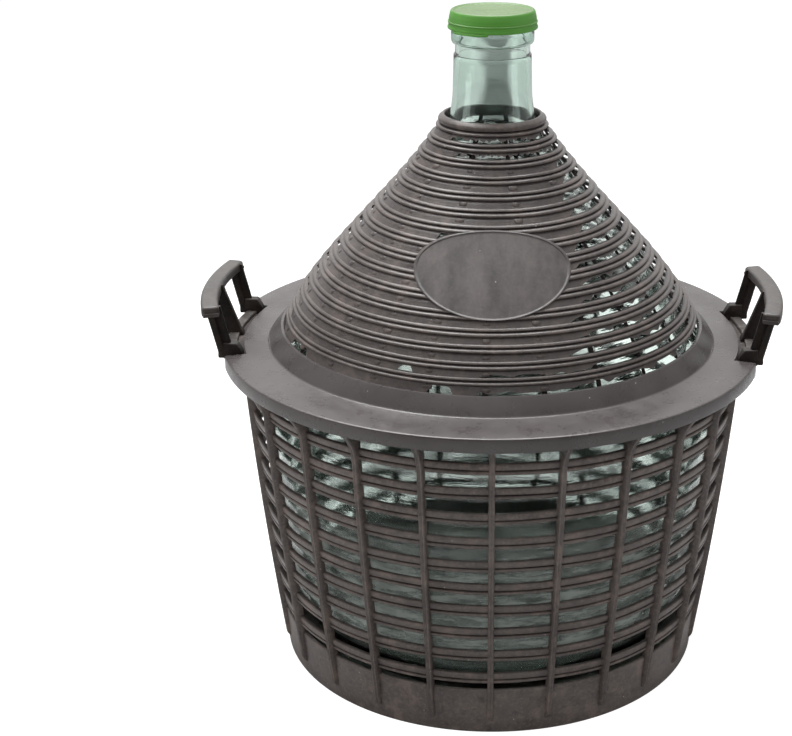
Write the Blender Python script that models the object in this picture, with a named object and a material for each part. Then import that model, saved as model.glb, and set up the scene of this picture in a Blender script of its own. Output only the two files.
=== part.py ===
"""A glass demijohn in a slatted plastic basket with a ringed, windowed cover.

The basket and the cover are 24-sided. The basket is turned a little against
the cover, and its lip is small enough to fit the skirt at any turn. Each rib or
bar starts at a corner and runs along the side of the 24-gon for its own width.
Heights run up +Z from the floor, and the front of the vessel faces -Y.
"""

import math

import bmesh
import bpy
from mathutils import Matrix, Vector

MM = 0.001

# Overall sizes
BODY_RADIUS = 182.3 * MM
BASKET_HEIGHT = 239.0 * MM
CONE_HEIGHT = 150.0 * MM
NECK_HEIGHT = 78.5 * MM
NECK_RADIUS = 27.2 * MM
FIT_GAP = 0.3 * MM

# Facets
SIDES = 24
FIRST_CORNER = math.radians(-91.2)
BASKET_TURN = math.radians(2.1)
SIDE_ANGLE = 2.0 * math.pi / SIDES
LATHE_SIDES = 32

# Basket: the hull is the surface that the outer edges of the ribs lie on
HULL_BASE_SHARE = 0.871
HULL_BELLY = 1.7 * MM
HULL_TOP = BASKET_HEIGHT - 31.0 * MM
RIB_DEPTH = 3.5 * MM
RIB_WIDTH = 4.6 * MM
RIB_FOOT = 8.0 * MM
RIB_FOOT_RUN = 6.0 * MM
RIB_SHARES = (0.25, 0.5, 0.75)
WALL_THICKNESS = 3.0 * MM
FLARE_START = BASKET_HEIGHT - 33.0 * MM
FLARE_END = BASKET_HEIGHT - 9.0 * MM
FLARE_POWER = 1.67
FLARE_SHARES = (0.0, 0.35, 0.7, 1.0)
BAND_HEIGHT = 36.0 * MM
SLAT_COUNT = 10
SLAT_HEIGHT = 8.5 * MM
LOWEST_SLAT = 46.0 * MM
TOP_SLAT = BASKET_HEIGHT - 25.5 * MM
RIM_BOTTOM = BASKET_HEIGHT - 10.0 * MM
LIP_THICKNESS = 3.0 * MM
FOOT_RADIUS = HULL_BASE_SHARE * BODY_RADIUS - 1.4 * MM
FOOT_INNER_RADIUS = FOOT_RADIUS - 9.4 * MM
FOOT_RECESS = 1.0 * MM
FLOOR_TOP = 3.5 * MM
DRAIN_RADIUS = 30.0 * MM

# Cover flange, and the lip of the basket under it
FLANGE_RADIUS = BODY_RADIUS + 14.5 * MM
SKIRT_THICKNESS = 2.2 * MM
SKIRT_DROP = 6.0 * MM
FLANGE_BOTTOM = BASKET_HEIGHT + FIT_GAP
FLANGE_TOP = BASKET_HEIGHT + 4.0 * MM
FLANGE_EDGE = 0.8 * MM
SKIRT_FLAT_SHARE = math.cos(SIDE_ANGLE / 2.0)
LIP_RADIUS = (FLANGE_RADIUS - SKIRT_THICKNESS) * SKIRT_FLAT_SHARE - FIT_GAP

# Cover cone: a smooth crest curve carries the rings
CONE_BASE = BASKET_HEIGHT + 11.0 * MM
CONE_TOP = CONE_BASE + CONE_HEIGHT
CONE_BASE_RADIUS = BODY_RADIUS - 27.7 * MM
COLLAR_HOLE_RADIUS = NECK_RADIUS + 6.4 * MM
CONE_TOP_RADIUS = COLLAR_HOLE_RADIUS + 5.9 * MM
CONE_START_SLOPE = 0.5
CONE_END_SLOPE = 0.8
COLLAR_RADIUS = COLLAR_HOLE_RADIUS + 4.6 * MM
COVER_DEPTH = 6.0 * MM
RING_COUNT = 16
TOP_GROOVE = CONE_TOP + 1.8 * MM
LOWEST_GROOVE = CONE_BASE + 12.45 * MM
RING_PITCH = (TOP_GROOVE - LOWEST_GROOVE) / (RING_COUNT - 1)
GROOVE_DEPTH = 1.6 * MM
WINDOW_SET_BACK = 0.9 * MM
LOWER_BEAD_SHARE = 0.17
WINDOW_TOP_SHARE = 0.36
WINDOW_BOTTOM_SHARE = 0.71
UPPER_BEAD_SHARE = 0.85
BAR_WIDTH = 6.5 * MM
SPARSE_ROWS = 7
FIRST_OPEN_BAYS = (-3, -3, 3, 3, 3, 2, 2, 2, 2, 2, 2, 2, 2, 1, 0, 0)
FIRST_SHUT_BAY = -6

# Smooth band between the lowest windows and the flange
BAND_TOP = CONE_BASE + 4.6 * MM
BAND_TOP_RADIUS = CONE_BASE_RADIUS - 0.3 * MM
BAND_BASE = FLANGE_TOP + 2.5 * MM
BAND_BASE_RADIUS = CONE_BASE_RADIUS + 7.4 * MM
BAND_FILLET = 2.0 * MM
BAND_INNER_TOP = CONE_BASE + 2.2 * MM
BAND_INNER_TOP_RADIUS = CONE_BASE_RADIUS - 4.0 * MM
BAND_INNER_BASE_RADIUS = CONE_BASE_RADIUS + 3.7 * MM
BAND_INNER_FOOT = 1.4 * MM

# Collar round the neck
COLLAR_SHOULDER = CONE_TOP + 6.0 * MM
COLLAR_TOP = CONE_TOP + 7.5 * MM
COLLAR_ROUND = 1.8 * MM
COLLAR_CREST = 1.5 * MM

# Bare oval plate on the front of the cone
PLATE_CENTRE = CONE_BASE + 71.5 * MM
PLATE_HALF_HEIGHT = 24.5 * MM
PLATE_HALF_WIDTH = 52.0 * MM
PLATE_AZIMUTH = math.radians(-88.4)
PLATE_PROUD = 1.0 * MM
PLATE_DEPTH = 4.0 * MM
PLATE_ROWS = 10
PLATE_COLUMNS = 10
PLATE_END_SHARE = 0.97

# Handles
UPRIGHT_SPREAD = 48.5 * MM
UPRIGHT_HALF_WIDTH = 4.0 * MM
UPRIGHT_FOOT_X = FLANGE_RADIUS - 16.0 * MM
UPRIGHT_HEAD_X = FLANGE_RADIUS - 5.5 * MM
UPRIGHT_DEPTH = 10.5 * MM
UPRIGHT_SINK = 1.4 * MM
MIDDLE_HALF_WIDTH = 3.0 * MM
MIDDLE_FOOT_X = FLANGE_RADIUS - 12.6 * MM
MIDDLE_HEAD_X = FLANGE_RADIUS + 1.0 * MM
GRIP_INNER = FLANGE_RADIUS + 1.4 * MM
GRIP_OUTER = FLANGE_RADIUS + 13.9 * MM
GRIP_OVERHANG = 8.5 * MM
GRIP_STEPS = 10
GRIP_TOP = BASKET_HEIGHT + 40.0 * MM
GRIP_DEPTH = 6.5 * MM
GRIP_WALL = 2.3 * MM
GRIP_EDGE = 1.0 * MM
HANDLE_FOOT_OUTER = FLANGE_RADIUS - 2.9 * MM
HANDLE_FOOT_BOTTOM = BASKET_HEIGHT + FIT_GAP
HANDLE_FOOT_THICKNESS = 2.8 * MM
HANDLE_FOOT_OVERHANG = 4.4 * MM
FOOT_STEPS = 6

# Notches in the flange, wide enough for the feet of the handles
NOTCH_RADIUS = FLANGE_RADIUS - 15.8 * MM
NOTCH_CLEARANCE = 1.4 * MM
NOTCH_STEPS = 6
NOTCH_MARGIN = 8.0 * MM
HANDLE_FOOT_INNER = NOTCH_RADIUS + 1.2 * MM

# Tangs of the handles, in slots in the lip
TANG_SPREAD_SHARE = 0.62
TANG_WIDTH = 12.0 * MM
TANG_THICKNESS = 2.4 * MM
TANG_INSET = 3.2 * MM
TANG_LENGTH = 4.0 * MM
TANG_SINK = 1.2 * MM

# Glass bottle
GLASS_THICKNESS = 3.0 * MM
GLASS_REST = FLOOR_TOP + FIT_GAP
GLASS_WALL_SHARE = 0.972
GLASS_BASE_RADIUS = 92.0 * MM
GLASS_CORNER_HEIGHT = 86.0 * MM
GLASS_CORNER_STEPS = 5
GLASS_WALL_SHARES = (0.5, 0.9)
GLASS_SHOULDER = (
    (BASKET_HEIGHT - 20.0 * MM, BODY_RADIUS - 14.5 * MM),
    (BASKET_HEIGHT - 7.0 * MM, BODY_RADIUS - 20.0 * MM),
    (BASKET_HEIGHT + 4.0 * MM, BODY_RADIUS - 30.0 * MM),
    (BASKET_HEIGHT + 16.0 * MM, BODY_RADIUS - 43.0 * MM),
)
GLASS_CONE_SHARES = (0.2, 0.42, 0.62, 0.78, 0.92)
GLASS_CONE_GAP = 10.0 * MM
NECK_ROOT_RADIUS = NECK_RADIUS + 3.8 * MM
NECK_ROOT = CONE_TOP + 4.0 * MM
NECK_MIDDLE = CONE_TOP + 17.0 * MM
NECK_MIDDLE_RADIUS = NECK_RADIUS + 1.2 * MM
NECK_TOP = CONE_TOP + 50.0 * MM
BEAD_BOTTOM = CONE_TOP + 53.5 * MM
BEAD_TOP = CONE_TOP + 62.5 * MM
BEAD_RADIUS = NECK_RADIUS + 1.7 * MM
BEAD_EDGE = 1.0 * MM
GROOVE_RADIUS = NECK_RADIUS - 1.0 * MM
FINISH_RADIUS = NECK_RADIUS + 1.2 * MM
BORE_RADIUS = NECK_RADIUS - 3.6 * MM
FINISH_TOP = CONE_TOP + NECK_HEIGHT - 1.0 * MM
FINISH_EDGE = 0.8 * MM

# Cap
CAP_BOTTOM = BEAD_TOP + 1.3 * MM
CAP_TOP = CONE_TOP + NECK_HEIGHT + 1.5 * MM
CAP_TOP_RADIUS = NECK_RADIUS + 2.0 * MM
CAP_SHOULDER = CAP_TOP - 4.5 * MM
CAP_SHOULDER_RADIUS = NECK_RADIUS + 3.0 * MM
CAP_SKIRT_RADIUS = NECK_RADIUS + 3.8 * MM
CAP_BAND_RADIUS = NECK_RADIUS + 4.1 * MM
CAP_BAND_HEIGHT = 2.0 * MM
CAP_RECESS = 0.9 * MM
CAP_RECESS_RADIUS = NECK_RADIUS - 0.7 * MM
CAP_DIMPLE_RADIUS = 3.0 * MM
CAP_DIMPLE = 0.5 * MM
CAP_EDGE = 1.0 * MM
CAP_PLUG_THICKNESS = 1.5 * MM
CAP_PLUG_BOTTOM = CAP_BOTTOM + 2.6 * MM
CAP_SEAT = FINISH_TOP + FIT_GAP
PULL_RADIUS = NECK_RADIUS + 5.4 * MM
PULL_ROOT_RADIUS = NECK_RADIUS + 2.8 * MM
PULL_THICKNESS = 1.6 * MM
PULL_START = math.radians(-150.0)
PULL_END = math.radians(-95.0)
PULL_STEPS = 6

SMOOTH_ANGLE = math.radians(32.0)


class Shell:
    """Faces that share their vertices wherever their points coincide."""

    def __init__(self):
        self.mesh = bmesh.new()
        self.known = {}

    def vertex(self, point):
        key = tuple(round(value, 7) for value in point)
        if key not in self.known:
            self.known[key] = self.mesh.verts.new(point)
        return self.known[key]

    def face(self, points):
        corners = []
        for point in points:
            vertex = self.vertex(point)
            if vertex not in corners:
                corners.append(vertex)
        if len(corners) > 2:
            self.mesh.faces.new(corners)

    def build(self, name):
        bmesh.ops.recalc_face_normals(self.mesh, faces=self.mesh.faces)
        data = bpy.data.meshes.new(name)
        self.mesh.to_mesh(data)
        self.mesh.free()
        made = bpy.data.objects.new(name, data)
        bpy.context.scene.collection.objects.link(made)
        return made


# Points of the 24-gon

def corner(radius, height, index):
    angle = FIRST_CORNER + SIDE_ANGLE * index
    return Vector((radius * math.cos(angle), radius * math.sin(angle), height))


def along(radius, height, index, width):
    """The point at a given width from a corner, on the side that starts there."""
    start = corner(radius, height, index)
    end = corner(radius, height, index + 1)
    return start + (end - start).normalized() * width


def edge(level, index, width=None):
    """One side of a level, with the extra point where a rib or bar ends."""
    radius, height = level
    points = [corner(radius, height, index)]
    if width is not None:
        points.append(along(radius, height, index, width))
    points.append(corner(radius, height, index + 1))
    return points


def no_width(index):
    return None


def ring_strip(shell, low, high, low_width=no_width, high_width=no_width):
    """A closed strip between two levels, one face for each side."""
    for index in range(SIDES):
        lower = edge(low, index, low_width(index))
        upper = edge(high, index, high_width(index))
        shell.face(lower + upper[::-1])


def column_face(shell, low, high, index, width):
    """The face of a rib or bar between two levels."""
    shell.face([
        corner(*low, index),
        along(*low, index, width),
        along(*high, index, width),
        corner(*high, index),
    ])


def bay_face(shell, low, high, index, width):
    """The face between two levels from the end of a rib or bar to the next corner."""
    shell.face([
        along(*low, index, width),
        corner(*low, index + 1),
        corner(*high, index + 1),
        along(*high, index, width),
    ])


# Materials and finishing

def material(name, color, roughness, alpha=1.0):
    made = bpy.data.materials.new(name)
    made.use_nodes = True
    shader = made.node_tree.nodes["Principled BSDF"]
    shader.inputs["Base Color"].default_value = (*color, 1.0)
    shader.inputs["Roughness"].default_value = roughness
    shader.inputs["Alpha"].default_value = alpha
    made.diffuse_color = (*color, alpha)
    return made


def finish(made, surface):
    """Shade the object smooth with sharp creases and give it its material."""
    data = made.data
    data.materials.clear()
    data.materials.append(surface)
    for polygon in data.polygons:
        polygon.material_index = 0
        polygon.use_smooth = True
    data.set_sharp_from_angle(angle=SMOOTH_ANGLE)
    return made


def combine(target, other, operation):
    """Apply an exact Boolean to the target and remove the other object."""
    step = target.modifiers.new("combine", "BOOLEAN")
    step.operation = operation
    step.solver = "EXACT"
    step.object = other
    depsgraph = bpy.context.evaluated_depsgraph_get()
    result = bpy.data.meshes.new_from_object(target.evaluated_get(depsgraph))
    target.modifiers.remove(step)
    old_data = target.data
    target.data = result
    bpy.data.meshes.remove(old_data)
    old_other = other.data
    bpy.data.objects.remove(other)
    bpy.data.meshes.remove(old_other)
    return target


# Basket

def hull_radius(height):
    base = BODY_RADIUS * HULL_BASE_SHARE
    share = height / HULL_TOP
    belly = HULL_BELLY * 4.0 * share * (1.0 - share)
    return base + (BODY_RADIUS - base) * share + belly


def wall_outer(height):
    return hull_radius(height) - RIB_DEPTH


def wall_inner(height):
    return wall_outer(height) - WALL_THICKNESS


def slat_spans():
    """The bottom and top of each slat, from the lowest upwards."""
    pitch = (TOP_SLAT - LOWEST_SLAT) / (SLAT_COUNT - 1)
    spans = []
    for index in range(SLAT_COUNT):
        middle = LOWEST_SLAT + pitch * index
        spans.append((middle - SLAT_HEIGHT / 2.0, middle + SLAT_HEIGHT / 2.0))
    return spans


def rib_outline():
    """The outer edge of a rib as radius and height, from the foot to the lip."""
    foot_top = RIB_FOOT + RIB_FOOT_RUN
    points = [(wall_outer(RIB_FOOT), RIB_FOOT), (hull_radius(foot_top), foot_top)]
    for share in RIB_SHARES:
        height = foot_top + (FLARE_START - foot_top) * share
        points.append((hull_radius(height), height))
    reach = LIP_RADIUS - hull_radius(FLARE_END)
    for share in FLARE_SHARES:
        height = FLARE_START + (FLARE_END - FLARE_START) * share
        points.append((hull_radius(height) + reach * share ** FLARE_POWER, height))
    points.append((LIP_RADIUS, BASKET_HEIGHT - LIP_THICKNESS))
    return points


def rib_back():
    """The edge of a rib's side where it meets the wall, from the lip to the foot."""
    lip_bottom = BASKET_HEIGHT - LIP_THICKNESS
    points = [
        (wall_outer(lip_bottom), lip_bottom),
        (wall_outer(RIM_BOTTOM), RIM_BOTTOM),
        (wall_inner(RIM_BOTTOM), RIM_BOTTOM),
    ]
    for low, high in reversed(slat_spans()):
        points.append((wall_inner(high), high))
        points.append((wall_outer(high), high))
        points.append((wall_outer(low), low))
        points.append((wall_inner(low), low))
    points.append((wall_inner(BAND_HEIGHT), BAND_HEIGHT))
    points.append((wall_outer(BAND_HEIGHT), BAND_HEIGHT))
    return points


def add_rib(shell, index):
    """A vertical rib with its two flat sides, outer edge and inner face."""
    outline = rib_outline()
    side = outline + rib_back()
    shell.face([corner(*point, index) for point in side])
    shell.face([along(*point, index, RIB_WIDTH) for point in reversed(side)])
    for low, high in zip(outline, outline[1:]):
        column_face(shell, low, high, index, RIB_WIDTH)
    heights = [BAND_HEIGHT]
    for span in slat_spans():
        heights.extend(span)
    heights.append(RIM_BOTTOM)
    inner = [(wall_inner(height), height) for height in heights]
    for low, high in zip(inner, inner[1:]):
        column_face(shell, low, high, index, RIB_WIDTH)


def add_slat(shell, low, high, index):
    """One slat between two ribs, as a bar with four long faces."""
    outer_low = (wall_outer(low), low)
    outer_high = (wall_outer(high), high)
    inner_low = (wall_inner(low), low)
    inner_high = (wall_inner(high), high)
    bay_face(shell, outer_low, outer_high, index, RIB_WIDTH)
    bay_face(shell, outer_high, inner_high, index, RIB_WIDTH)
    bay_face(shell, inner_high, inner_low, index, RIB_WIDTH)
    bay_face(shell, inner_low, outer_low, index, RIB_WIDTH)


def add_band_and_floor(shell):
    """The plain band round the foot and the recessed floor with its drain hole."""
    def ribbed(index):
        return RIB_WIDTH

    foot = (FOOT_RADIUS, 0.0)
    rib_foot = (wall_outer(RIB_FOOT), RIB_FOOT)
    band_outer = (wall_outer(BAND_HEIGHT), BAND_HEIGHT)
    band_inner = (wall_inner(BAND_HEIGHT), BAND_HEIGHT)
    ring_strip(shell, foot, rib_foot, high_width=ribbed)
    for index in range(SIDES):
        bay_face(shell, rib_foot, band_outer, index, RIB_WIDTH)
        bay_face(shell, band_outer, band_inner, index, RIB_WIDTH)
    floor_edge = (wall_inner(FLOOR_TOP), FLOOR_TOP)
    ring_strip(shell, floor_edge, band_inner, high_width=ribbed)
    rest = [
        floor_edge,
        (DRAIN_RADIUS, FLOOR_TOP),
        (DRAIN_RADIUS, FOOT_RECESS),
        (FOOT_INNER_RADIUS, FOOT_RECESS),
        (FOOT_INNER_RADIUS, 0.0),
        foot,
    ]
    for low, high in zip(rest, rest[1:]):
        ring_strip(shell, low, high)


def add_rim(shell):
    """The short wall above the top gap and the lip that carries the cover."""
    def ribbed(index):
        return RIB_WIDTH

    lip_bottom = BASKET_HEIGHT - LIP_THICKNESS
    inner_low = (wall_inner(RIM_BOTTOM), RIM_BOTTOM)
    outer_low = (wall_outer(RIM_BOTTOM), RIM_BOTTOM)
    outer_high = (wall_outer(lip_bottom), lip_bottom)
    lip_low = (LIP_RADIUS, lip_bottom)
    lip_high = (LIP_RADIUS, BASKET_HEIGHT)
    inner_high = (wall_inner(BASKET_HEIGHT), BASKET_HEIGHT)
    for index in range(SIDES):
        bay_face(shell, inner_low, outer_low, index, RIB_WIDTH)
        bay_face(shell, outer_low, outer_high, index, RIB_WIDTH)
        bay_face(shell, outer_high, lip_low, index, RIB_WIDTH)
    ring_strip(shell, lip_low, lip_high, low_width=ribbed)
    ring_strip(shell, lip_high, inner_high)
    ring_strip(shell, inner_high, inner_low, high_width=ribbed)


def make_basket(surface):
    shell = Shell()
    add_band_and_floor(shell)
    for index in range(SIDES):
        add_rib(shell, index)
        for low, high in slat_spans():
            add_slat(shell, low, high, index)
    add_rim(shell)
    basket = shell.build("basket")
    basket.data.transform(Matrix.Rotation(BASKET_TURN, 4, "Z"))
    for turn in (1.0, -1.0):
        for spread in tang_spreads():
            combine(basket, tang_box("slot", turn, spread, FIT_GAP), "DIFFERENCE")
    return finish(basket, surface)


# Cover

def crest_radius(height):
    """The outer radius of the rings, which flares out towards the base."""
    share = (height - CONE_BASE) / CONE_HEIGHT
    start = share ** 3 - 2.0 * share ** 2 + share
    middle = 3.0 * share ** 2 - 2.0 * share ** 3
    end = share ** 3 - share ** 2
    drop = start * CONE_START_SLOPE + middle + end * CONE_END_SLOPE
    return CONE_BASE_RADIUS - (CONE_BASE_RADIUS - CONE_TOP_RADIUS) * drop


def groove_height(row):
    """The height of a groove, where row 0 is the one in the collar."""
    return TOP_GROOVE - RING_PITCH * row


def window_levels(row):
    """The outer and inner levels at the bottom and top of a row of windows."""
    low = groove_height(row) - RING_PITCH * WINDOW_BOTTOM_SHARE
    high = groove_height(row) - RING_PITCH * WINDOW_TOP_SHARE
    levels = []
    for height in (low, high):
        crest = crest_radius(height)
        outer = (crest - WINDOW_SET_BACK, height)
        inner = (max(crest - COVER_DEPTH, COLLAR_HOLE_RADIUS), height)
        levels.append((outer, inner))
    return levels


def is_open(row, index):
    """True where the bay has a window. The front left of the cone is closed."""
    turn = (index + SIDES // 2) % SIDES - SIDES // 2
    return turn < FIRST_SHUT_BAY or turn >= FIRST_OPEN_BAYS[row]


def has_bar(row, index):
    """True where a bar stands at the corner. The top rows have every other bar."""
    return row >= SPARSE_ROWS or index % 2 == 1


def bar_width(row, index):
    """The width of the bar next to an open window, or None where there is none."""
    if is_open(row, index) and has_bar(row, index):
        return BAR_WIDTH
    return None


def add_window(shell, row, index):
    """The four reveals of a window, less the ends that run on into the next bay."""
    (outer_low, inner_low), (outer_high, inner_high) = window_levels(row)
    width = bar_width(row, index) or 0.0
    bay_face(shell, outer_high, inner_high, index, width)
    bay_face(shell, inner_low, outer_low, index, width)
    levels = (outer_low, inner_low, inner_high, outer_high)
    if has_bar(row, index) or not is_open(row, index - 1):
        shell.face([along(*level, index, width) for level in levels])
    if has_bar(row, index + 1) or not is_open(row, index + 1):
        shell.face([corner(*level, index + 1) for level in reversed(levels)])


def add_window_row(shell, row):
    (outer_low, inner_low), (outer_high, inner_high) = window_levels(row)
    for index in range(SIDES):
        if not is_open(row, index):
            shell.face(edge(outer_low, index) + edge(outer_high, index)[::-1])
            shell.face(edge(inner_high, index) + edge(inner_low, index)[::-1])
            continue
        if has_bar(row, index):
            column_face(shell, outer_low, outer_high, index, BAR_WIDTH)
            column_face(shell, inner_high, inner_low, index, BAR_WIDTH)
        add_window(shell, row, index)


def ring_profile(row):
    """The two beads and the groove of a ring, from the window below it upwards."""
    groove = groove_height(row)
    bead = groove - RING_PITCH * LOWER_BEAD_SHARE
    points = [
        (crest_radius(bead), bead),
        (crest_radius(groove) - GROOVE_DEPTH, groove),
    ]
    if row > 0:
        ledge = groove_height(row - 1) - RING_PITCH * UPPER_BEAD_SHARE
        points.append((crest_radius(ledge), ledge))
    return points


def collar_profile():
    """The rounded top of the collar, over to the edge of its hole."""
    return [
        (COLLAR_RADIUS, TOP_GROOVE + COLLAR_CREST),
        (COLLAR_RADIUS - FLANGE_EDGE, COLLAR_SHOULDER),
        (COLLAR_RADIUS - COLLAR_ROUND, COLLAR_TOP),
        (COLLAR_HOLE_RADIUS, COLLAR_TOP),
    ]


def flange_profile():
    """From the inner edge of the lowest windows round the skirt to the outer one."""
    skirt_bottom = BASKET_HEIGHT - SKIRT_DROP
    skirt_inner = FLANGE_RADIUS - SKIRT_THICKNESS
    return [
        (BAND_INNER_TOP_RADIUS, BAND_INNER_TOP),
        (BAND_INNER_BASE_RADIUS, FLANGE_TOP),
        (BAND_INNER_BASE_RADIUS + BAND_INNER_FOOT, FLANGE_BOTTOM),
        (skirt_inner, FLANGE_BOTTOM),
        (skirt_inner, skirt_bottom),
        (FLANGE_RADIUS, skirt_bottom),
        (FLANGE_RADIUS, FLANGE_TOP - FLANGE_EDGE),
        (FLANGE_RADIUS - FLANGE_EDGE, FLANGE_TOP),
        (BAND_BASE_RADIUS + BAND_FILLET, FLANGE_TOP),
        (BAND_BASE_RADIUS, BAND_BASE),
        (BAND_TOP_RADIUS, BAND_TOP),
    ]


def strips_between(shell, start, middle, end, start_width, end_width):
    """Strips through a run of plain levels between two rows of windows."""
    levels = [start] + middle + [end]
    last = len(levels) - 2
    for step, (low, high) in enumerate(zip(levels, levels[1:])):
        low_width = start_width if step == 0 else no_width
        high_width = end_width if step == last else no_width
        ring_strip(shell, low, high, low_width, high_width)


def row_widths(row):
    def width(index):
        return bar_width(row, index)
    return width


def add_rings(shell):
    """The outer and inner faces of every ring, and the windows between them."""
    for row in range(RING_COUNT):
        add_window_row(shell, row)
        low_outer, low_inner = window_levels(row)[1]
        if row == 0:
            middle = ring_profile(0) + collar_profile()
            strips_between(shell, low_outer, middle, low_inner, row_widths(0), row_widths(0))
            continue
        high_outer, high_inner = window_levels(row - 1)[0]
        widths = (row_widths(row), row_widths(row - 1))
        strips_between(shell, low_outer, ring_profile(row), high_outer, *widths)
        strips_between(shell, low_inner, [], high_inner, *widths)


def add_flange(shell):
    row = RING_COUNT - 1
    outer, inner = window_levels(row)[0]
    widths = row_widths(row)
    strips_between(shell, inner, flange_profile(), outer, widths, widths)


def plate_point(row, column, offset):
    """A point of the plate's grid on the cone, moved outwards by the offset."""
    up = (2.0 * row / PLATE_ROWS - 1.0) * PLATE_END_SHARE
    across = 2.0 * column / PLATE_COLUMNS - 1.0
    height = PLATE_CENTRE + PLATE_HALF_HEIGHT * up
    half = PLATE_HALF_WIDTH * math.sqrt(1.0 - up * up)
    radius = crest_radius(height) + offset
    angle = PLATE_AZIMUTH + math.asin(half * across / radius)
    return Vector((radius * math.cos(angle), radius * math.sin(angle), height))


def make_plate():
    """The oval plate as a closed shell that follows the cone."""
    shell = Shell()

    def front(row, column):
        return plate_point(row, column, PLATE_PROUD)

    def back(row, column):
        return plate_point(row, column, -PLATE_DEPTH)

    for row in range(PLATE_ROWS):
        for column in range(PLATE_COLUMNS):
            cells = (
                (row, column),
                (row, column + 1),
                (row + 1, column + 1),
                (row + 1, column),
            )
            for side in (front, back):
                points = [side(*cell) for cell in cells]
                shell.face([points[0], points[1], points[2]])
                shell.face([points[0], points[2], points[3]])
    border = [(0, column) for column in range(PLATE_COLUMNS)]
    border += [(row, PLATE_COLUMNS) for row in range(PLATE_ROWS)]
    border += [(PLATE_ROWS, column) for column in range(PLATE_COLUMNS, 0, -1)]
    border += [(row, 0) for row in range(PLATE_ROWS, 0, -1)]
    for here, there in zip(border, border[1:] + border[:1]):
        shell.face([front(*here), front(*there), back(*there)])
        shell.face([front(*here), back(*there), back(*here)])
    return shell.build("plate")


def make_notch(turn):
    """A wedge that opens the flange and its skirt where a handle stands."""
    radii = (NOTCH_RADIUS, FLANGE_RADIUS + NOTCH_MARGIN)
    low = BASKET_HEIGHT - SKIRT_DROP - NOTCH_MARGIN
    high = FLANGE_TOP + NOTCH_MARGIN
    reach = UPRIGHT_SPREAD + HANDLE_FOOT_OVERHANG + NOTCH_CLEARANCE
    half_angle = math.atan2(reach, UPRIGHT_FOOT_X)
    return arc_block("notch", turn, radii, (low, high), half_angle, NOTCH_STEPS)


def make_cover(surface):
    shell = Shell()
    add_rings(shell)
    add_flange(shell)
    cover = shell.build("cover")
    combine(cover, make_plate(), "UNION")
    for turn in (1.0, -1.0):
        combine(cover, make_notch(turn), "DIFFERENCE")
    return finish(cover, surface)


# Handles: built at +X and turned round for the other side

def turned(x, y, z, turn):
    return Vector((x * turn, y * turn, z))


def sweep(name, turn, section, half_angle, steps):
    """A closed section carried round the main axis between two angles."""
    shell = Shell()
    loops = []
    for step in range(steps + 1):
        angle = half_angle * (2.0 * step / steps - 1.0)
        loops.append([
            turned(radius * math.cos(angle), radius * math.sin(angle), height, turn)
            for radius, height in section
        ])
    for low, high in zip(loops, loops[1:]):
        for index in range(len(section)):
            after = (index + 1) % len(section)
            shell.face([low[index], low[after], high[after], high[index]])
    shell.face(loops[0])
    shell.face(loops[-1][::-1])
    return shell.build(name)


def arc_block(name, turn, radii, heights, half_angle, steps):
    section = [
        (radii[0], heights[0]),
        (radii[1], heights[0]),
        (radii[1], heights[1]),
        (radii[0], heights[1]),
    ]
    return sweep(name, turn, section, half_angle, steps)


def prism(name, turn, low, high):
    """A block between two rectangles, each (x, y, half depth, half width, height)."""
    shell = Shell()
    loops = []
    for x, y, half_x, half_y, height in (low, high):
        loops.append([
            turned(x + half_x * side_x, y + half_y * side_y, height, turn)
            for side_x, side_y in ((-1, -1), (1, -1), (1, 1), (-1, 1))
        ])
    for index in range(4):
        after = (index + 1) % 4
        shell.face([loops[0][index], loops[0][after], loops[1][after], loops[1][index]])
    shell.face(loops[0])
    shell.face(loops[1][::-1])
    return shell.build(name)


def grip_section():
    """A flat-topped channel, open below, as radius and height."""
    bottom = GRIP_TOP - GRIP_DEPTH
    inside_top = GRIP_TOP - GRIP_WALL
    return [
        (GRIP_INNER, bottom),
        (GRIP_INNER + GRIP_WALL, bottom),
        (GRIP_INNER + GRIP_WALL, inside_top),
        (GRIP_OUTER - GRIP_WALL, inside_top),
        (GRIP_OUTER - GRIP_WALL, bottom),
        (GRIP_OUTER, bottom),
        (GRIP_OUTER, GRIP_TOP - GRIP_EDGE),
        (GRIP_OUTER - GRIP_EDGE, GRIP_TOP),
        (GRIP_INNER + GRIP_EDGE, GRIP_TOP),
        (GRIP_INNER, GRIP_TOP - GRIP_EDGE),
    ]


def make_upright(turn, spread, foot_x, head_x, half_width):
    """A leaning post from the foot plate up into the channel of the grip."""
    foot = HANDLE_FOOT_BOTTOM + HANDLE_FOOT_THICKNESS - UPRIGHT_SINK
    head = GRIP_TOP - GRIP_WALL + UPRIGHT_SINK
    half_depth = UPRIGHT_DEPTH / 2.0
    low = (foot_x + half_depth, spread, half_depth, half_width, foot)
    high = (head_x + half_depth, spread, half_depth, half_width, head)
    return prism("upright", turn, low, high)


def make_uprights(turn):
    """The two end posts and the thinner one between them, which stands further out."""
    ends = (UPRIGHT_FOOT_X, UPRIGHT_HEAD_X, UPRIGHT_HALF_WIDTH)
    middle = (MIDDLE_FOOT_X, MIDDLE_HEAD_X, MIDDLE_HALF_WIDTH)
    return [
        make_upright(turn, -UPRIGHT_SPREAD, *ends),
        make_upright(turn, UPRIGHT_SPREAD, *ends),
        make_upright(turn, 0.0, *middle),
    ]


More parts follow.
